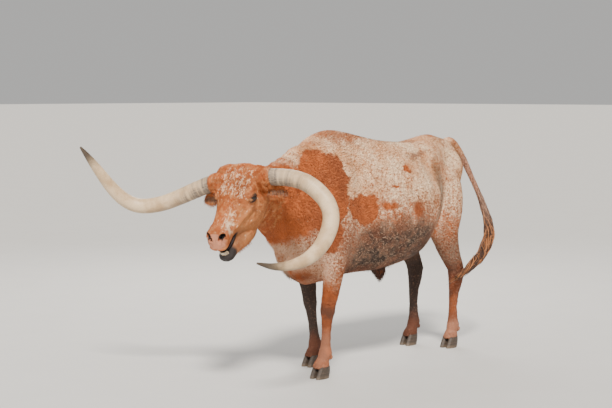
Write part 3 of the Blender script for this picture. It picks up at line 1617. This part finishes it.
@dataclass
class Mouth:
    """The lower incisors in a crescent, and the dark lining behind them."""

    steer: Steer
    tooth: Material
    lining: Material
    count: int = 8
    tooth_size: tuple[float, float, float] = (0.0038, 0.0058, 0.0150)
    lining_place: tuple[float, float, float] = (0.345, 0.010, -0.101)
    lining_size: tuple[float, float, float] = (0.078, 0.038, 0.014)

    def build(self) -> list[Object]:
        """Adds the teeth and the mouth's lining.

        Returns:
            The two objects.
        """
        teeth = []
        for index in range(self.count):
            turn = ((index + 0.5) / self.count - 0.5) * 2.1
            place = (0.402 + 0.036 * math.cos(turn), 0.016 + 0.031 * math.sin(turn), -0.104)
            teeth.append(self.ellipsoid(place, self.tooth_size, turn))
        select_only(*teeth)
        bpy.ops.object.join()
        row = bpy.context.view_layer.objects.active
        row.name = "incisors"
        lining = self.ellipsoid(self.lining_place, self.lining_size, 0.0)
        lining.name = "mouth_lining"
        for piece, material in ((row, self.tooth), (lining, self.lining)):
            piece.data.materials.append(material)
            select_only(piece)
            bpy.ops.object.shade_smooth()
            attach(piece, "root")
        LOG.info("mouth: %d teeth", self.count)
        return [row, lining]

    def ellipsoid(self, place: tuple, size: tuple, turn: float) -> Object:
        """A ball stretched along the head's axes and turned about its z axis.

        Args:
            place: its middle, in the head's frame.
            size: its half sizes.
            turn: the turn in radians.

        Returns:
            The ball.
        """
        bpy.ops.mesh.primitive_uv_sphere_add(segments=20, ring_count=14, radius=1.0)
        ball = bpy.context.active_object
        local = points_of(ball) * size
        cos, sin = math.cos(turn), math.sin(turn)
        x, y, z = local.T
        turned = np.stack([x * cos - y * sin, x * sin + y * cos, z], axis=1)
        set_points(ball, self.steer.from_head(turned + np.array(place)))
        return ball


@dataclass
class Locks:
    """Closed tapered tufts gathered into one mesh, each with its own patch of the unwrap."""

    name: str
    sides: int = 3
    points: list[Array] = field(default_factory=list)
    faces: list[Array] = field(default_factory=list)
    uvs: list[Array] = field(default_factory=list)
    shades: list[Array] = field(default_factory=list)
    total: int = 0
    uv_reach: float = 0.0013

    def add(
        self, paths: Array, radii: Array, normals: Array, places: Array, shade: Array, flat: float
    ) -> None:
        """Adds many tufts.

        Args:
            paths: middle lines, shaped (tufts, rings + 1, 3), the last point being the tip.
            radii: half widths, shaped (tufts, rings).
            normals: which way each tuft's thin side faces, shaped (tufts, 3).
            places: each root's place on the unwrap, shaped (tufts, 2).
            shade: a number from 0 to 1 per tuft.
            flat: thickness over width.
        """
        count, rings = radii.shape
        if count == 0:
            return
        tangents = np.gradient(paths, axis=1)
        tangents /= np.linalg.norm(tangents, axis=2)[..., None] + TINY
        across = np.cross(tangents, normals[:, None, :])
        across /= np.linalg.norm(across, axis=2)[..., None] + TINY
        lift = np.cross(across, tangents)
        angles = np.linspace(0, 2 * np.pi, self.sides, endpoint=False) + np.pi / 2
        cos, sin = np.cos(angles), np.sin(angles)
        spokes = cos[:, None] * across[:, :rings, None, :] + flat * sin[:, None] * lift[:, :rings, None, :]
        body = paths[:, :rings, None, :] + spokes * radii[:, :, None, None]
        vertices = np.concatenate([body.reshape(count, -1, 3), paths[:, -1:, :]], axis=1)
        per = rings * self.sides + 1
        pattern = []
        for ring in range(rings - 1):
            for side in range(self.sides):
                a, b = ring * self.sides + side, ring * self.sides + (side + 1) % self.sides
                pattern += [(a, b, b + self.sides), (a, b + self.sides, a + self.sides)]
        last = (rings - 1) * self.sides
        pattern += [(last + side, last + (side + 1) % self.sides, per - 1) for side in range(self.sides)]
        pattern += [(0, side + 1, side) for side in range(1, self.sides - 1)]
        pattern = np.array(pattern)
        starts = self.total + np.arange(count) * per
        self.faces.append((starts[:, None, None] + pattern).reshape(-1, 3))
        self.points.append(vertices.reshape(-1, 3))
        share = np.concatenate([np.repeat(np.linspace(0, 0.8, rings), self.sides), [1.0]])
        swing = np.concatenate([np.tile(cos, rings), [0.0]])
        reach = self.uv_reach
        local = np.stack([swing * reach, share * (2 * reach) - reach], axis=1)
        self.uvs.append(np.clip(places[:, None, :] + local, 0.0, 1.0).reshape(-1, 2))
        self.shades.append(np.repeat(shade, per))
        self.total += count * per

    def build(self, material: Material, slot: str, replaces: tuple[str, ...] = ()) -> Object:
        """Makes the mesh with its unwrap and each lock's shade.

        Args:
            material: the finish.
            slot: the record's material slot.
            replaces: nodes that the piece stands for.

        Returns:
            The object.
        """
        points = np.vstack(self.points)
        faces = np.vstack(self.faces)
        mesh = bpy.data.meshes.new(self.name)
        mesh.vertices.add(len(points))
        mesh.vertices.foreach_set("co", points.astype(np.float32).ravel())
        mesh.loops.add(faces.size)
        mesh.loops.foreach_set("vertex_index", faces.astype(np.int32).ravel())
        mesh.polygons.add(len(faces))
        mesh.polygons.foreach_set("loop_start", np.arange(0, faces.size, 3, dtype=np.int32))
        mesh.update(calc_edges=True)
        unwrap = mesh.uv_layers.new(name="OFBake")
        unwrap.data.foreach_set("uv", np.vstack(self.uvs)[faces.ravel()].astype(np.float32).ravel())
        marks = mesh.attributes.new("lock", "FLOAT", "POINT")
        marks.data.foreach_set("value", np.concatenate(self.shades).astype(np.float32))
        mesh.materials.append(material)
        made = bpy.data.objects.new(self.name, mesh)
        bpy.context.scene.collection.objects.link(made)
        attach(made, "root")
        if replaces:
            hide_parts(*replaces)
        LOG.info("%s: %d faces", self.name, len(faces))
        return made


@dataclass
class Roots:
    """Places on the skin where tufts grow."""

    points: Array
    normals: Array
    lie: Array
    places: Array

    def pick(self, chosen: Array) -> Roots:
        """Only the chosen roots."""
        return Roots(self.points[chosen], self.normals[chosen], self.lie[chosen], self.places[chosen])


class Zone(Enum):
    """The regions that the coat is combed and unwrapped in."""

    BARREL_LEFT = "barrel_left"
    BARREL_RIGHT = "barrel_right"
    NECK = "neck"
    HEAD = "head"
    FORELEGS = "forelegs"
    HINDLEGS = "hindlegs"
    TAIL = "tail"


@dataclass
class Coat:
    """Short tufts all over the skin, with longer hair where the breed carries it."""

    steer: Steer
    skin: Object
    tufts: Material
    pale: Material
    dark: Material
    seed: int = 7
    random: np.random.Generator = field(init=False)
    quick_thinning: float = 2.2
    tuft_length: float = 0.0185
    tuft_width: float = 0.00185
    face_tuft_length: float = 0.0125
    face_tuft_width: float = 0.00145
    spacing: dict[Zone, float] = field(
        default_factory=lambda: {
            Zone.BARREL_LEFT: 0.0058,
            Zone.BARREL_RIGHT: 0.0058,
            Zone.NECK: 0.0052,
            Zone.HEAD: 0.0034,
            Zone.FORELEGS: 0.0052,
            Zone.HINDLEGS: 0.0054,
            Zone.TAIL: 0.0050,
        }
    )

    def build(self) -> list[Object]:
        """Grows the coat zone by zone, then the longer hair.

        Returns:
            The coat's pieces.
        """
        self.random = np.random.default_rng(self.seed)
        corners, normals, areas, zones = self.faces()
        made = []
        for zone in Zone:
            spacing = self.spacing[zone] * 1.0
            chosen = np.nonzero(zones == list(Zone).index(zone))[0]
            roots = self.sample(corners[chosen], normals[chosen], areas[chosen], spacing, zone)
            made.append(self.short_coat(zone, roots))
        made.extend(self.long_hair(corners, normals, areas))
        return made

    def faces(self) -> tuple[Array, Array, Array, Array]:
        """Corners, corner normals, areas and zones of the skin's triangles.

        Returns:
            One row of each per triangle.
        """
        mesh = self.skin.data
        mesh.calc_loop_triangles()
        flat = np.empty(len(mesh.loop_triangles) * 3, dtype=np.int32)
        mesh.loop_triangles.foreach_get("vertices", flat)
        index = flat.reshape(-1, 3)
        points = points_of(self.skin)
        corners = points[index]
        normals = normals_of(self.skin)[index]
        cross = np.cross(corners[:, 1] - corners[:, 0], corners[:, 2] - corners[:, 0])
        areas = np.linalg.norm(cross, axis=1) / 2
        return corners, normals, areas, self.zone(corners.mean(axis=1))

    def zone(self, points: Array) -> Array:
        """Each point's zone, by its number in the list of zones.

        Args:
            points: places in the row frame.

        Returns:
            One number per point.
        """
        place = self.steer.to_body(points)
        head = self.steer.to_head(points)
        x, y, z = place.T
        names = list(Zone)
        result = np.where(y < 0, names.index(Zone.BARREL_LEFT), names.index(Zone.BARREL_RIGHT))
        result[(x < -0.60) & (z > 0.62)] = names.index(Zone.NECK)
        near = np.linalg.norm((head - (0.17, 0.0, -0.05)) / (0.36, 0.33, 0.22), axis=1) < 1.0
        result[near] = names.index(Zone.HEAD)
        result[(z < 0.78) & (x < -0.36) & ~near] = names.index(Zone.FORELEGS)
        result[(z < 0.86) & (x > 0.28)] = names.index(Zone.HINDLEGS)
        result[(x > 0.86) & (z > 0.70)] = names.index(Zone.TAIL)
        return result

    def sample(
        self, corners: Array, normals: Array, areas: Array, spacing: float, zone: Zone | None
    ) -> Roots:
        """Spreads roots evenly over the given triangles.

        Args:
            corners: each triangle's corners.
            normals: the skin's normals there.
            areas: each triangle's area.
            spacing: distance between roots.
            zone: the zone, or None for longer hair.

        Returns:
            The roots.
        """
        total = areas.sum()
        count = int(total / spacing**2)
        steps = (np.arange(count) + self.random.random(count)) * (total / max(1, count))
        face = np.minimum(np.searchsorted(np.cumsum(areas), steps), len(areas) - 1)
        a, b = self.random.random((2, count))
        turn = a + b > 1.0
        a, b = np.where(turn, 1.0 - a, a), np.where(turn, 1.0 - b, b)
        weights = np.stack([1.0 - a - b, a, b], axis=1)[:, :, None]
        points = (corners[face] * weights).sum(axis=1)
        out = (normals[face] * weights).sum(axis=1)
        out /= np.linalg.norm(out, axis=1)[:, None] + TINY
        return Roots(points, out, self.lie(points, out), self.unwrap(points, zone))

    def unwrap(self, points: Array, zone: Zone | None) -> Array:
        """Where each root lies when its zone is rolled out flat from round its middle.

        Args:
            points: the roots' places.
            zone: their zone, or None for longer hair.

        Returns:
            Two numbers from 0 to 1 per root.
        """
        place = self.steer.to_body(points)
        if zone in (Zone.BARREL_LEFT, Zone.BARREL_RIGHT, Zone.NECK, None):
            angle = np.arctan2(place[:, 1], place[:, 2] - 1.02)
            if zone is Zone.NECK:
                angle = np.arctan2(place[:, 1] + 0.02, place[:, 2] - 1.08)
            along = place[:, 0]
        elif zone is Zone.HEAD:
            head = self.steer.to_head(points)
            angle = np.arctan2(head[:, 1], head[:, 2] + 0.06)
            along = head[:, 0]
        else:
            side = np.where(place[:, 1] < 0, -1.0, 1.0)
            middle = np.array([place[:, 0].mean(), np.abs(place[:, 1]).mean()])
            angle = np.arctan2(place[:, 0] - middle[0], place[:, 1] * side - middle[1]) / 2 + side * np.pi / 2
            along = place[:, 2]
        spread = (along - along.min()) / max(1e-6, np.ptp(along))
        return np.stack([0.01 + 0.98 * (angle / (2 * np.pi) + 0.5), 0.01 + 0.98 * spread], axis=1)

    def lie(self, points: Array, normals: Array) -> Array:
        """Which way the hair points, laid flat on the skin.

        Args:
            points: the roots' places.
            normals: the skin's normals there.

        Returns:
            One direction per root.
        """
        place = self.steer.to_body(points)
        head = self.steer.to_head(points)
        x, y, z = place.T
        lie = np.tile((1.0, 0.0, -0.30), (len(points), 1))
        rump = smoothstep(0.45, 0.75, x)[:, None]
        lie = lie * (1 - rump) + np.array([0.55, 0.0, -0.9]) * rump
        chest = (smoothstep(-0.66, -0.86, x) * smoothstep(1.15, 0.95, z))[:, None]
        lie = lie * (1 - chest) + np.array([0.45, 0.0, -1.0]) * chest
        legs = smoothstep(0.80, 0.60, z)[:, None]
        lie = lie * (1 - legs) + np.array([0.12, 0.0, -1.0]) * legs
        tail = smoothstep(0.90, 0.98, x)[:, None]
        lie = lie * (1 - tail) + np.array([0.25, -0.1, -1.0]) * tail
        near = np.linalg.norm((head - (0.20, 0.0, -0.05)) / (0.34, 0.24, 0.22), axis=1)
        face = 1.0 - smoothstep(0.85, 1.0, near)
        cheek = smoothstep(-0.02, -0.10, head[:, 2])
        nose, left, brow = self.steer.axes
        down = nose * 0.9
        back = -nose * 0.25 - brow * 0.8
        combed = down[None, :] * (1 - cheek[:, None]) + back[None, :] * cheek[:, None]
        outward = np.sign(head[:, 1])[:, None] * left[None, :]
        parting = smoothstep(0.06, -0.02, head[:, 0])[:, None]
        combed = combed + outward * parting * 0.9
        lie = lie * (1 - face[:, None]) + combed * face[:, None]
        swirl = np.stack(
            [
                np.sin(9 * z + 5 * x + 2 * y) + 0.6 * np.sin(23 * z - 11 * x),
                np.sin(8 * x - 6 * z) + 0.6 * np.sin(19 * x + 17 * z),
                np.sin(7 * x + 9 * z + 1.0) + 0.6 * np.sin(21 * x - 13 * z + 2 * y),
            ],
            axis=1,
        )
        lie = lie + 0.16 * swirl + self.random.normal(0.0, 0.15, lie.shape)
        lie -= normals * np.sum(lie * normals, axis=1)[:, None]
        return lie / (np.linalg.norm(lie, axis=1)[:, None] + TINY)

    def bare(self, points: Array) -> Array:
        """Which points lie on the bare nose pad, lips, nostrils, lids or inside the mouth.

        Args:
            points: places in the row frame.

        Returns:
            One truth value per point.
        """
        head = self.steer.to_head(points)
        x, y, z = head.T
        wide = np.stack([x, np.abs(y), z], axis=1)
        pad = np.linalg.norm((head - (0.415, 0.0, -0.028)) / (0.054, 0.070, 0.054), axis=1) < 1.0
        lips = (x > 0.37) & (z < -0.060) & (z > -0.125) & (np.abs(y) < 0.075)
        chin = np.linalg.norm((head - (0.425, 0.016, -0.135)) / (0.075, 0.085, 0.050), axis=1) < 1.0
        eye = np.linalg.norm(wide - EYE_IN_HEAD, axis=1) < EYE_RADIUS + 0.0050
        gap = (x > 0.27) & (np.abs(z + 0.100) < 0.014) & (np.abs(y) < 0.062)
        return pad | lips | chin | eye | gap

    def short_coat(self, zone: Zone, roots: Roots) -> Object:
        """One zone's flat short tufts, four faces each.

        Args:
            zone: the zone.
            roots: where its tufts grow.

        Returns:
            The zone's coat.
        """
        roots = roots.pick(~self.bare(roots.points))
        place = self.steer.to_body(roots.points)
        head = self.steer.to_head(roots.points)
        low = smoothstep(0.62, 0.34, place[:, 2])
        length = self.tuft_length - 0.0085 * low
        width = self.tuft_width - 0.00055 * low
        if zone is Zone.HEAD:
            muzzle = smoothstep(0.16, 0.34, head[:, 0])
            length = self.face_tuft_length - 0.0055 * muzzle
            width = self.face_tuft_width - 0.0004 * muzzle
            near = np.linalg.norm(np.abs(head) - np.abs(EYE_IN_HEAD), axis=1)
            length = length * (0.45 + 0.55 * smoothstep(0.03, 0.07, near))
        count = len(roots.points)
        length = length * self.random.uniform(0.7, 1.25, count)
        lift = self.random.uniform(0.09, 0.24, count)
        start = roots.points - roots.normals * 0.0006
        tip = roots.points + (roots.lie + roots.normals * lift[:, None]) * length[:, None]
        locks = Locks(f"coat_{zone.value}")
        paths = np.stack([start, tip], axis=1)
        shade = self.random.random(count)
        locks.add(paths, width[:, None], roots.normals, roots.places, shade, 0.55)
        return locks.build(self.tufts, "hide_roan" if "barrel" in zone.value else "hide_red")

    def strands(
        self, name: str, roots: Roots, length: Array, width: float, bend: Array, curl: float
    ) -> Locks:
        """Longer curved locks from the given roots.

        Args:
            name: the piece's name.
            roots: where they grow.
            length: each lock's length.
            width: half the width of a lock at its root.
            bend: a direction the locks droop towards, by their tips.
            curl: how far they wave from side to side, over their length.

        Returns:
            The locks, not yet built.
        """
        rings = 5
        count = len(roots.points)
        t = np.linspace(0.0, 1.0, rings + 1)[None, :, None]
        away = roots.lie + roots.normals * self.random.uniform(0.15, 0.55, count)[:, None]
        side = np.cross(roots.lie, roots.normals)
        phase = self.random.uniform(0, 2 * np.pi, count)[:, None, None]
        wave = np.sin(t * 2 * np.pi * 1.2 + phase) * curl * t
        lift = away[:, None, :] * t * (1 - 0.35 * t)
        droop = bend[None, None, :] * 0.55 * t**2
        run = lift + droop + side[:, None, :] * wave
        path = roots.points[:, None, :] + length[:, None, None] * run
        path[:, 0, :] -= roots.normals * 0.001
        taper = np.array([0.75, 1.0, 0.9, 0.65, 0.35])
        radii = width * taper[None, :] * self.random.uniform(0.7, 1.2, count)[:, None]
        locks = Locks(name, sides=3)
        locks.add(path, radii, roots.normals, roots.places, self.random.random(count), 0.6)
        return locks

    def long_hair(self, corners: Array, normals: Array, areas: Array) -> list[Object]:
        """Poll, ear, brisket, sheath, withers and fetlock hair.

        Args:
            corners: each triangle's corners.
            normals: the skin's normals there.
            areas: each triangle's area.

        Returns:
            One piece per patch of hair.
        """
        skin = (corners, normals, areas)
        middle = corners.mean(axis=1)
        ahead, aside, above = self.steer.to_head(middle).T
        x, y, z = self.steer.to_body(middle).T
        down = np.array([0.0, 0.0, -1.0])
        made = []

        poll = (np.abs(aside) < 0.155) & (ahead < 0.035) & (ahead > -0.10) & (above > -0.06)
        made.append(self.patch("poll_hair", poll, skin, 0.0040, 0.030, 0.0015, down, self.tufts))

        edges, inside = self.ears(middle)
        made.append(self.patch("ear_fringe", edges, skin, 0.0042, 0.021, 0.0011, down, self.tufts))
        made.append(self.patch("ear_lining", inside, skin, 0.0042, 0.024, 0.0009, down, self.pale))

        brisket = (x < -0.62) & (z < 0.86) & (z > 0.60) & (np.abs(y) < 0.10) & (normals[:, 0, 2] < 0.15)
        made.append(self.patch("brisket_hair", brisket, skin, 0.0060, 0.024, 0.0012, down, self.tufts))
        sheath = (x > -0.02) & (x < 0.16) & (z < 0.70) & (np.abs(y) < 0.08) & (z > 0.5)
        made.append(self.patch("sheath_hair", sheath, skin, 0.0055, 0.026, 0.0012, down, self.dark))
        back = np.array([0.6, 0.0, -0.4])
        crest = (x < -0.30) & (x > -0.95) & (np.abs(y + 0.02) < 0.05) & (z > 1.24)
        made.append(self.patch("crest_hair", crest, skin, 0.0062, 0.022, 0.0014, back, self.tufts))
        fetlock = (z > 0.076) & (z < 0.104)
        made.append(self.patch("coronet_hair", fetlock, skin, 0.0050, 0.012, 0.0011, down, self.tufts))
        return made

    def ears(self, middle: Array) -> tuple[Array, Array]:
        """Which faces lie along the ears' edges, and which inside their cups.

        Args:
            middle: the middle of each face.

        Returns:
            Two truth values per face.
        """
        edges = np.zeros(len(middle), dtype=bool)
        inside = np.zeros(len(middle), dtype=bool)
        beyond_skull = np.abs(self.steer.to_head(middle)[:, 1]) > 0.15
        margin = 0.004
        for side in Side:
            name = f"ear_{side.name.lower()}"
            low, high = (np.array(corner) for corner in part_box(name))
            within = np.all((middle > low - margin) & (middle < high + margin), axis=1)
            ear = within & beyond_skull
            height = high[2] - low[2]
            from_middle = np.abs(middle[:, 2] - (low[2] + high[2]) / 2)
            edges |= ear & (from_middle > height * 0.30)
            inside |= ear & (from_middle < height * 0.22)
        return edges, inside

    def patch(
        self,
        name: str,
        chosen: Array,
        skin: tuple[Array, Array, Array],
        spacing: float,
        length: float,
        width: float,
        bend: Array,
        material: Material,
    ) -> Object:
        """Grows one patch of longer hair.

        Args:
            name: the piece's name.
            chosen: which of the skin's faces it grows on.
            skin: corners, corner normals and areas of the skin's faces.
            spacing: distance between locks.
            length: a lock's usual length.
            width: half a lock's width.
            bend: the direction its locks droop towards.
            material: the hair's finish.

        Returns:
            The piece.
        """
        index = np.nonzero(chosen)[0]
        corners, normals, areas = (part[index] for part in skin)
        roots = self.sample(corners, normals, areas, spacing, None)
        roots = roots.pick(~self.bare(roots.points))
        lengths = length * self.random.uniform(0.55, 1.25, len(roots.points))
        return self.strands(name, roots, lengths, width, bend, 0.10).build(material, "hide_red")


SWITCH_LINE = (
    (1.043, -0.104, 1.050, 0.021),
    (1.051, -0.132, 0.980, 0.022),
    (1.054, -0.155, 0.915, 0.024),
    (1.050, -0.178, 0.870, 0.026),
    (1.036, -0.208, 0.800, 0.036),
    (0.996, -0.238, 0.720, 0.044),
    (0.890, -0.254, 0.620, 0.042),
    (0.765, -0.264, 0.560, 0.034),
    (0.672, -0.258, 0.512, 0.026),
    (0.590, -0.242, 0.474, 0.016),
    (0.520, -0.226, 0.452, 0.008),
)


@dataclass
class Switch:
    """The tail's long hair, swung forwards past the hock in loosely twisted locks."""

    steer: Steer
    material: Material
    seed: int = 21
    count: int = 760
    rings: int = 16
    line_points: int = 200

    def build(self) -> Object:
        """Lays locks along the tail's line, each leaving it at its own place.

        Returns:
            The switch.
        """
        random = np.random.default_rng(self.seed)
        line = smooth_path(np.array(SWITCH_LINE), self.line_points)
        last = self.line_points - 1
        centres = self.steer.from_body(line[:, :3])
        radius = line[:, 3]
        tangents = np.gradient(centres, axis=0)
        tangents /= np.linalg.norm(tangents, axis=1)[:, None]
        across = np.cross(tangents, (0.0, 0.0, 1.0))
        across /= np.linalg.norm(across, axis=1)[:, None]
        up = np.cross(across, tangents)
        locks = Locks("tail_switch_hair", sides=4)
        begin = random.uniform(0.0, 0.62, self.count) ** 1.1
        begin[: self.count // 3] *= 0.12
        span = random.uniform(0.26, 0.46, self.count)
        end = np.minimum(begin + span, random.uniform(0.86, 1.0, self.count))
        angle = random.uniform(0, 2 * np.pi, self.count)
        depth = np.sqrt(random.uniform(0.08, 1.0, self.count))
        depth[: self.count // 3] = random.uniform(0.88, 1.05, self.count // 3)
        twist = random.normal(1.6, 1.5, self.count)
        steps = np.linspace(0.0, 1.0, self.rings + 1)
        share = begin[:, None] + (end - begin)[:, None] * steps[None, :]
        index = np.clip(share * last, 0, last)
        whole = np.minimum(index.astype(int), last - 1)
        rest = (index - whole)[..., None]
        middle = centres[whole] * (1 - rest) + centres[whole + 1] * rest
        wide = radius[whole] * 0.86
        turn = angle[:, None] + twist[:, None] * steps[None, :] * 2.0
        fan = depth[:, None] * wide * (0.55 + 0.45 * np.sin(np.pi * np.minimum(steps * 1.2, 1.0)))[None, :]
        wave = random.uniform(6.0, 15.0, self.count)[:, None]
        curl = 0.0085 * np.sin(steps[None, :] * wave + angle[:, None] * 3.0) * steps[None, :]
        path = middle + (np.cos(turn) * fan + curl)[..., None] * across[whole]
        path = path + (np.sin(turn) * fan)[..., None] * up[whole]
        path[..., 2] -= random.uniform(-0.2, 1.0, self.count)[:, None] * steps[None, :] ** 2 * 0.016
        taper = np.sin(np.pi * np.clip(0.12 + 0.80 * steps[:-1], 0, 1)) ** 0.7
        width = random.uniform(0.0016, 0.0042, self.count)
        radii = width[:, None] * taper[None, :]
        places = np.stack([0.02 + 0.96 * begin, 0.02 + 0.96 * angle / (2 * np.pi)], axis=1)
        root = whole[:, self.rings // 4]
        normals = np.cos(angle)[:, None] * across[root] + np.sin(angle)[:, None] * up[root]
        locks.add(path, radii, normals, places, random.random(self.count), 0.6)
        return locks.build(self.material, "switch_hair", ("tail_switch",))


@dataclass
class Lashes:
    """Dark lashes along both upper lids."""

    steer: Steer
    material: Material
    seed: int = 5
    count: int = 46

    def build(self, eyes: dict[Side, Array]) -> Object:
        """Roots the lashes in the lids' edges and turns them out and down.

        Args:
            eyes: the middle of each eyeball.

        Returns:
            The lashes of both eyes.
        """
        random = np.random.default_rng(self.seed)
        locks = Locks("lashes", sides=3)
        steps = np.linspace(0.0, 1.0, 5)[None, :, None]
        for side, centre in eyes.items():
            frame = eye_frame(self.steer, side)
            u = np.linspace(-0.70, 0.72, self.count) + random.normal(0.0, 0.02, self.count)
            v = lid_edges(u)[0] + 0.05
            w = np.sqrt(np.clip(1.0 - u**2 - v**2, 0.05, 1.0))
            root = centre + (EYE_RADIUS + 0.0026) * (np.stack([u, v, w], axis=1) @ frame)
            out = np.stack([u * 0.7, v * 0.2 + 0.25, np.ones(self.count)], axis=1) @ frame
            droop = np.array([0.0, 0.0, -0.45])
            length = random.uniform(0.010, 0.016, self.count)[:, None, None]
            path = root[:, None, :] + length * (out[:, None, :] * steps + droop * steps**2)
            radii = np.tile([0.00050, 0.00045, 0.00035, 0.00020], (self.count, 1))
            places = np.stack([0.1 + 0.8 * (u + 1) / 2, np.full(self.count, 0.3 + 0.2 * side.value)], axis=1)
            normals = np.tile(frame[1], (self.count, 1))
            locks.add(path, radii, normals, places, random.random(self.count), 0.8)
        return locks.build(self.material, "hide_dark")


@dataclass
class Studio:
    """A plain pale floor, soft lights and the camera that matches the photograph."""

    steer: Steer
    camera_place: tuple[float, float, float] = (-6.358, -5.335, 1.7)
    forward: tuple[float, float, float] = (0.73292, 0.67504, -0.08455)
    lens: float = 77.65
    floor_size: float = 300.0
    sky_strength: float = 0.56

    def build(self) -> None:
        """Adds the floor, the lights, the sky's soft fill and the camera."""
        bpy.ops.mesh.primitive_plane_add(size=self.floor_size, location=(0.0, 0.0, 0.0))
        floor = bpy.context.active_object
        floor.name = "floor"
        nodes = Nodes("floor")
        speck = nodes.noise(nodes.place, 3.0, 3.0)
        colour = nodes.mix(speck, (0.62, 0.61, 0.59), (0.66, 0.65, 0.63))
        floor.data.materials.append(nodes.finish(Base_Color=colour, Roughness=0.8))
        self.light("key", "SUN", (-4.2, -4.6, 7.6), 0.20, 5.2, (1.0, 0.94, 0.86))
        self.light("fill", "AREA", (-5.4, 1.6, 2.6), 3.5, 70.0, (0.94, 0.97, 1.0))
        self.light("rim", "AREA", (3.0, 3.4, 4.0), 3.0, 160.0, (1.0, 0.98, 0.95))
        world = bpy.data.worlds.new("studio")
        world.use_nodes = True
        background = world.node_tree.nodes["Background"]
        background.inputs["Color"].default_value = (0.90, 0.89, 0.87, 1.0)
        background.inputs["Strength"].default_value = self.sky_strength
        bpy.context.scene.world = world
        camera = bpy.data.cameras.new("camera")
        camera.lens = self.lens
        holder = bpy.data.objects.new("camera", camera)
        bpy.context.scene.collection.objects.link(holder)
        holder.location = self.steer.from_body(np.array(self.camera_place))
        holder.rotation_euler = Vector(self.forward).to_track_quat("-Z", "Y").to_euler()
        bpy.context.scene.camera = holder

    def light(self, name: str, kind: str, place: tuple, size: float, power: float, colour: tuple) -> None:
        """Adds one soft light aimed at the animal.

        Args:
            name: the light's name.
            kind: AREA for a square panel, SUN for a broad even light from afar.
            place: where it stands.
            size: the panel's side in metres, or the broad light's spread in radians.
            power: the light's energy.
            colour: the light's colour.
        """
        bpy.ops.object.light_add(type=kind, location=place)
        lamp = bpy.context.active_object
        lamp.name = name
        setattr(lamp.data, "angle" if kind == "SUN" else "size", size)
        lamp.data.energy = power
        lamp.data.color = colour
        aim = Vector((0.0, 0.0, 0.9)) - Vector(place)
        lamp.rotation_euler = aim.to_track_quat("-Z", "Y").to_euler()


HORN_LEFT = (
    (-1130, -130, 1222, 44), (-1084, -220, 1228, 49), (-1044, -320, 1225, 49), (-1010, -405, 1202, 49),
    (-987, -482, 1152, 49), (-980, -542, 1092, 48), (-1002, -587, 1026, 47), (-1055, -617, 952, 46),
    (-1140, -632, 872, 42), (-1240, -625, 815, 36), (-1340, -600, 790, 28), (-1435, -568, 790, 19),
    (-1522, -542, 812, 7), (-1530, -540, 815, 2),
)
HORN_RIGHT = (
    (-1180, 70, 1196, 44), (-1203, 145, 1178, 49), (-1233, 220, 1148, 48), (-1279, 320, 1101, 46),
    (-1326, 412, 1062, 45), (-1380, 494, 1043, 44), (-1430, 550, 1050, 43), (-1486, 590, 1088, 41),
    (-1545, 620, 1154, 37), (-1605, 640, 1234, 31), (-1665, 655, 1314, 22), (-1720, 669, 1384, 8),
    (-1725, 670, 1390, 3),
)


def main() -> None:
    """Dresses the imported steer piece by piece."""
    logging.basicConfig(level=logging.INFO, format="%(name)s %(message)s")
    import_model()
    steer = Steer.measure()
    hide = Hide()
    skin = Skin(steer, hide_skin(hide, steer))
    body = skin.build()
    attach(body, "root")
    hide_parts(*TRUNK_NODES, *HEAD_NODES, *LEGS, "lower_jaw")

    horn = HORN_FINISH.material()
    Horn("horn_left_shell", "horn_left", HORN_LEFT, steer, horn).build()
    Horn("horn_right_shell", "horn_right", HORN_RIGHT, steer, horn).build()
    eye = EYE_FINISH.material()
    for side in Side:
        Eye(side, skin.eye(side), steer, eye).build()
    Hooves(steer, HOOF_FINISH.material()).build()
    Mouth(steer, TOOTH_FINISH.material(), MOUTH_FINISH.material()).build()
    Switch(steer, SWITCH_FINISH.material()).build()
    ear_hair = hair_finish("ear hair", (0.46, 0.28, 0.18), (0.16, 0.07, 0.04), 30.0).material()
    dark_hair = hair_finish("dark hair", (0.10, 0.04, 0.022), (0.035, 0.016, 0.011), 24.0).material()
    Lashes(steer, dark_hair).build({side: skin.eye(side) for side in Side})
    Coat(steer, body, hide_tufts(hide, steer), ear_hair, dark_hair).build()
    Studio(steer).build()


if __name__ == "__main__":
    main()
